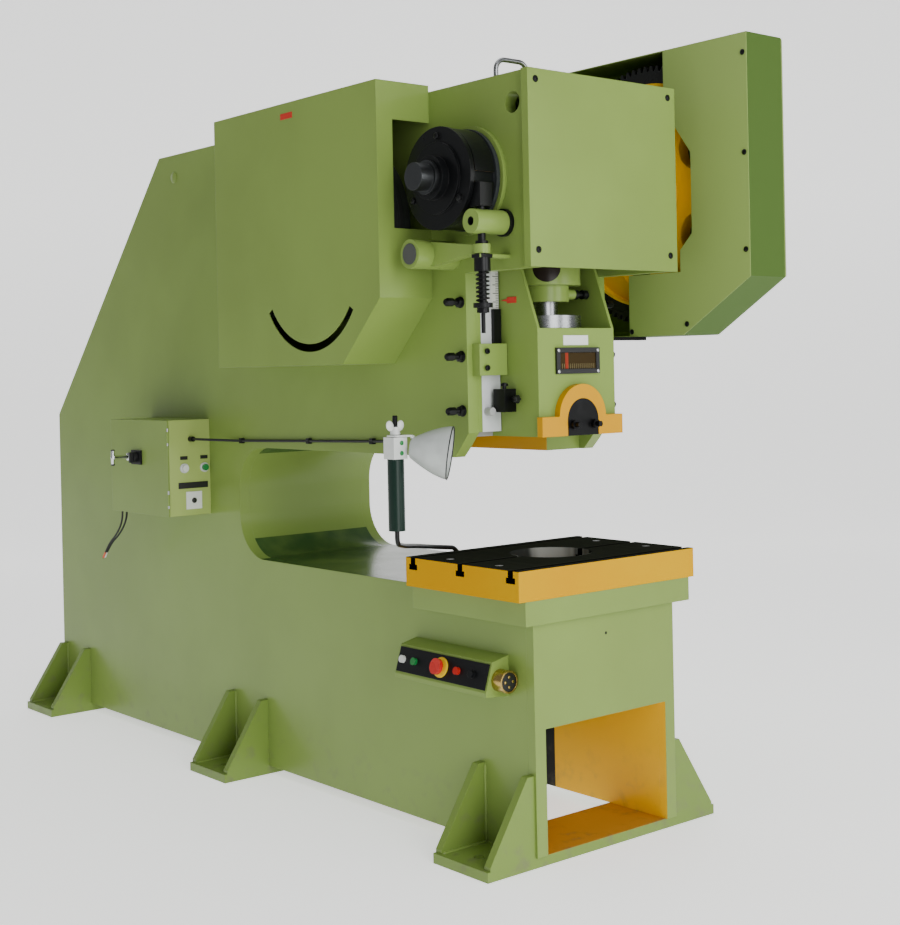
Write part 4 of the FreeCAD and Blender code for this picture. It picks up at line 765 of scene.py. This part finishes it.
def sight_details():
    """The dial behind the sight window and the screws at its corners."""
    low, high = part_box("sight_window")
    shape = bmesh.new()
    block(shape, (low.x + 0.0145, low.y + 0.0034, low.z + 0.0145),
          (high.x - 0.0145, low.y + 0.0046, high.z - 0.0145))
    add_piece("sight_dial", "ram", "dial", shape, smooth=False)
    shape = bmesh.new()
    for x in (-1, 1):
        for z in (-1, 1):
            turned(shape, (x * 0.0795, low.y + 0.0005, 1.4 + z * 0.0305), (0, -1, 0),
                   [(0, 0.0055), (0.0018, 0.0052), (0.0028, 0.0034), (0.0028, 0)], 18)
    add_piece("sight_screws", "ram", "steel", shape)


def stop_details():
    """A graduated scale face and socket screws in the stop block."""
    shape = bmesh.new()
    block(shape, mm(-188.5, -1217.6, 1556), mm(-161.5, -1216.9, 1671))
    add_piece("scale_face", "frame", "scale", shape, smooth=False)
    shape = bmesh.new()
    for z in (1384, 1432):
        turned(shape, mm(-240, -1252.2, z), (0, -1, 0), [(0, 0.0085), (0.004, 0.0085), (0.005, 0.0078),
                                                      (0.005, 0.0045), (0.001, 0.0045), (0.001, 0)], 20)
    add_piece("stop_screws", "frame", "black", shape)


def star_grip():
    """A five-lobed knob on a short stud."""
    low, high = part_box("star_knob")
    middle = (low + high) / 2
    shape = bmesh.new()
    front, back = low.y, low.y + 0.016
    count = 60
    rims = []
    for y, share in ((back, 0.86), (back - 0.002, 1.0), (front + 0.003, 1.0), (front, 0.82)):
        ring = []
        for step in range(count):
            turn = 2 * math.pi * step / count
            radius = 0.0128 * share * (0.86 + 0.14 * math.cos(5 * turn))
            ring.append(shape.verts.new((middle.x + radius * math.cos(turn), y,
                                         middle.z + radius * math.sin(turn))))
        rims.append(ring)
    for first, second in zip(rims, rims[1:]):
        for step in range(count):
            after = (step + 1) % count
            shape.faces.new((first[step], first[after], second[after], second[step]))
    shape.faces.new(rims[0])
    shape.faces.new(rims[-1][::-1])
    turned(shape, (middle.x, back - 0.001, middle.z), (0, 1, 0),
           [(0, 0.005), (high.y - back, 0.005)], 18)
    turned(shape, (middle.x, back, middle.z), (0, 1, 0), [(0.0, 0.008), (0.005, 0.007)], 20)
    add_piece("star_grip", "star_knob", "plastic", shape, stands_for=("star_knob",))


# ---------------------------------------------------------------- boxes


def box_plates():
    """Blank plates on the front of the electric box, with a round plug in the lowest."""
    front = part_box("white_button")[0].y + 0.0147  # the button stands this far out
    shape = bmesh.new()
    for x in (-391, -309):
        block(shape, (x * MM - 0.015, front - 0.0008, 1.0775), (x * MM + 0.015, front + 0.0006, 1.0905))
    block(shape, (-0.415, front - 0.0012, 0.974), (-0.295, front + 0.0006, 0.996))
    turned(shape, (-0.353, front - 0.0024, 0.930), (0, -1, 0), [(-0.001, 0.010), (0.002, 0.0095),
                                                                  (0.0028, 0.0075), (0.0028, 0)], 24)
    add_piece("box_labels", "frame", "plastic", shape, edge=0.0003)
    shape = bmesh.new()
    block(shape, (-0.385, front - 0.0022, 0.899), (-0.321, front + 0.0006, 0.962))
    add_piece("box_plate", "frame", "white", shape, smooth=False, edge=0.0006)


def hinge_pins():
    """Two steel pins down the front edge of the door."""
    shape = bmesh.new()
    for z in (0.907, 1.130):
        turned(shape, (-0.456, 0.235, z), (0, 0, 1), [(0, 0), (0, 0.0034), (0.0615, 0.0034), (0.063, 0.002),
                                                      (0.063, 0)], 16)
    add_piece("hinge_pins", "box_door", "steel", shape)


def door_handle():
    """A bright T-handle with a turned stem and black ends."""
    low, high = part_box("door_handle")
    shape = bmesh.new()
    y, z = (low.y + high.y) / 2, (low.z + high.z) / 2
    turned(shape, (high.x, y, z), (-1, 0, 0), [(0, 0.016), (0.004, 0.016), (0.008, 0.0135), (0.009, 0.0085),
                                               (0.02, 0.0072), (0.05, 0.0072), (0.064, 0.0085)], 32)
    bar_x = low.x + 0.0085
    turned(shape, (bar_x, y, low.z + 0.004), (0, 0, 1),
           [(0, 0.0055), (0.002, 0.0062), (0.018, 0.0068), (0.026, 0.0082), (0.034, 0.0068), (0.05, 0.0062),
            (0.052, 0.0055)], 28)
    add_piece("handle_bar", "door_handle", "chrome", shape, stands_for=("door_handle",))
    shape = bmesh.new()
    for z_end, way in ((low.z + 0.006, -1), (high.z - 0.006, 1)):
        turned(shape, (bar_x, y, z_end), (0, 0, way), [(0, 0.0064), (0.003, 0.0072), (0.005, 0.0062),
                                                       (0.006, 0.003), (0.006, 0)], 24)
    add_piece("handle_ends", "door_handle", "plastic", shape)


def socket_details():
    """The black insert and brass pins of the round socket on the control box."""
    low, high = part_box("desk_socket")
    x, z = (low.x + high.x) / 2, (low.z + high.z) / 2
    front = low.y
    shape = bmesh.new()
    turned(shape, (x, front + 0.0045, z), (0, -1, 0), [(0, 0.0262), (0.002, 0.0262), (0.0026, 0.0255)], 40)
    add_piece("socket_insert", "frame", "plastic", shape)
    shape = bmesh.new()
    for dx, dz in ((0, 14), (14, 0), (0, -14), (-14, 0)):
        turned(shape, (x + dx * MM, front + 0.003, z + dz * MM), (0, -1, 0),
               [(0, 0.0042), (0.0032, 0.0042), (0.0036, 0.003), (0.0036, 0)], 16)
    add_piece("socket_pins", "frame", "brass", shape)


def red_plate():
    """A blank red plate on the flywheel guard."""
    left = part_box("flywheel_guard")[0].x
    shape = bmesh.new()
    block(shape, (left - 0.0012, -0.633, 2.1705), (left + 0.0006, -0.567, 2.1895))
    add_piece("blank_red_plate", "frame", "red", shape, smooth=False, edge=0.0006)


def hole_plugs():
    """Domed plugs in the side plates' rear lifting holes."""
    shape = bmesh.new()
    for side in (-1, 1):
        turned(shape, (side * 0.2835, 0.452, 2.118), (side, 0, 0),
               [(0, 0.021), (0.003, 0.0205), (0.006, 0.016), (0.0065, 0)], 32)
    add_piece("hole_plugs", "frame", "green", shape)


# ---------------------------------------------------------------- lamp

LAMP_AIM = Vector((0.7, -0.7, -0.15)).normalized()
LAMP_PIVOT = (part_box("lamp_head")[0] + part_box("lamp_head")[1]) / 2
LAMP_PIVOT.z = 1.169


def lamp_bell():
    """A spun bell with a rolled rim, black as painted shade of the bell's inside."""
    start = LAMP_PIVOT + LAMP_AIM * 0.045
    outer = []
    for step in range(15):
        share = step / 14
        outer.append((0.112 * share, 0.028 + 0.048 * (1 - (1 - share) ** 1.5)))
    inner = [(along + 0.0002, radius - 0.002) for along, radius in outer[::-1]]
    shape = bmesh.new()
    turned(shape, start, LAMP_AIM, [(-0.003, 0), (-0.003, 0.022), (-0.002, 0.024), (0, 0.026)]
           + outer + inner + [(0.002, 0.02), (0.002, 0)], 72)
    add_piece("lamp_bell", "lamp_shade", "bell", shape, stands_for=("lamp_shade",))
    # The rolled rim is black, painted as the shade seen inside the bell's mouth.
    shape = bmesh.new()
    turned(shape, start, LAMP_AIM, [(0.1108, 0.0738), (0.1108, 0.0764), (0.1132, 0.0772),
                                    (0.1140, 0.0752), (0.1132, 0.0734)], 72, closed=True)
    add_piece("lamp_rim", "lamp_shade", "plastic", shape)


def lamp_strap():
    """A strap that hangs the bell from a washer over the head."""
    shape = bmesh.new()
    flat = Vector((LAMP_AIM.x, LAMP_AIM.y, 0)).normalized()
    across = Vector((-flat.y, flat.x, 0)) * 0.014
    top = Vector((LAMP_PIVOT.x, LAMP_PIVOT.y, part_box("lamp_head")[1].z + 0.001))
    turned(shape, top, (0, 0, 1), [(0, 0.023), (0.0008, 0.024), (0.0042, 0.024), (0.005, 0.023)], 40)
    corners = [top + across + flat * 0.01, top - across + flat * 0.01,
               top + flat * 0.050 - across, top + flat * 0.050 + across]
    prism(shape, corners, Vector((0, 0, 0.005)))
    turned(shape, top + flat * 0.049 + Vector((0, 0, 0.003)), (0, 0, -1), [(0, 0.006), (0.008, 0.006)], 16)
    add_piece("lamp_strap", "lamp_shade", "pale", shape, edge=0.0008)


def lamp_wing():
    """A wing nut on a threaded screw that clamps the strap."""
    shape = bmesh.new()
    foot = Vector((LAMP_PIVOT.x, LAMP_PIVOT.y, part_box("wing_nut")[0].z))
    base = foot + Vector((0, 0, 0.007))
    turned(shape, base, (0, 0, 1), [(0, 0.0145), (0.003, 0.015), (0.016, 0.011), (0.022, 0.0105)], 32)
    for side in (-1, 1):
        spread = Matrix.Rotation(math.radians(25 * side), 4, "Y")
        place = Matrix.Translation(base + Vector((side * 0.018, 0, 0.025))) @ spread
        bmesh.ops.create_uvsphere(shape, u_segments=20, v_segments=12, radius=0.015,
                                  matrix=place @ Matrix.Diagonal((0.85, 0.36, 1.05, 1)))
    add_piece("lamp_wing", "frame", "pale", shape, stands_for=("wing_nut",))
    shape = bmesh.new()
    thread = [(0, 0.0074)] + [(0.002 + 0.0018 * i, 0.008 if i % 2 else 0.0071) for i in range(32)]
    turned(shape, foot, (0, 0, 1), thread + [(0.0615, 0.006)], 20)
    add_piece("lamp_screw", "frame", "black", shape)


def lamp_rivets():
    """Two green rivets in the front of the head."""
    shape = bmesh.new()
    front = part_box("lamp_head")[0].y
    for z in (1.148, 1.177):
        turned(shape, (LAMP_PIVOT.x + 0.004, front + 0.0005, z), (0, -1, 0),
               [(0, 0.0072), (0.0015, 0.0066), (0.0022, 0.004), (0.0022, 0)], 20)
    add_piece("lamp_rivets", "frame", "green_plastic", shape)


stroke_pointer()
blank_label()
sight_details()
stop_details()
star_grip()
box_plates()
hinge_pins()
door_handle()
socket_details()
red_plate()
hole_plugs()
lamp_bell()
lamp_strap()
lamp_wing()
lamp_rivets()

# ---------------------------------------------------------------- floor and light


def paper_floor():
    """A pale floor that curves up behind the press."""
    shape = bmesh.new()
    rows = [(-9, 0), (6, 0)] + [(6 + 3 * math.sin(a), 3 - 3 * math.cos(a))
                                for a in (math.radians(9 * i) for i in range(1, 11))] + [(9, 9)]
    ends = []
    for y, z in rows:
        ends.append([shape.verts.new((x, y, z)) for x in (-14, 14)])
    for near, far in zip(ends, ends[1:]):
        shape.faces.new((near[0], near[1], far[1], far[0]))
    mesh = bpy.data.meshes.new("floor")
    shape.to_mesh(mesh)
    shape.free()
    for face in mesh.polygons:
        face.use_smooth = True
    floor = bpy.data.objects.new("floor", mesh)
    floor.rotation_euler = (0, 0, math.radians(-39.68))
    bpy.context.collection.objects.link(floor)
    f = Finish("floor_paper", Emission_Strength=0.9, Emission_Color=(1, 1, 1, 1))
    cloud = f.noise(0.6, 3.0)
    mesh.materials.append(f.finish(f.mix(cloud, tint("f2f2f0"), tint("ecece9")), cloud * 0.1 + 0.7))


def soft_lights():
    """Large soft lamps in front, low in front, at the side and above."""
    for name, at, towards, size, power in (
            ("key", (-1.2, -6.6, 4.0), (0, -0.8, 1.2), 3.0, 160),
            ("low", (-2.2, -8.2, 1.2), (-0.2, -0.6, 1.2), 3.6, 210),
            ("front", (2.2, -6.4, 2.0), (0, -1.2, 1.2), 2.5, 90),
            ("side", (-5.4, 0.4, 2.8), (-0.3, 0, 1.2), 3.0, 6),
            ("top", (0.0, -0.5, 5.6), (0, -0.4, 0), 4.0, 90)):
        light = bpy.data.objects.new(name, bpy.data.lights.new(name, "AREA"))
        light.data.shape = "SQUARE"
        light.data.size = size
        light.data.energy = power
        light.location = at
        light.rotation_euler = (Vector(towards) - Vector(at)).to_track_quat("-Z", "Y").to_euler()
        bpy.context.collection.objects.link(light)


def open_air():
    """A faint even light from all round."""
    world = bpy.data.worlds.new("air")
    world.use_nodes = True
    glow = world.node_tree.nodes["Background"]
    glow.inputs["Color"].default_value = (0.93, 0.95, 0.97, 1)
    glow.inputs["Strength"].default_value = 0.3
    bpy.context.scene.world = world


paper_floor()
soft_lights()
open_air()
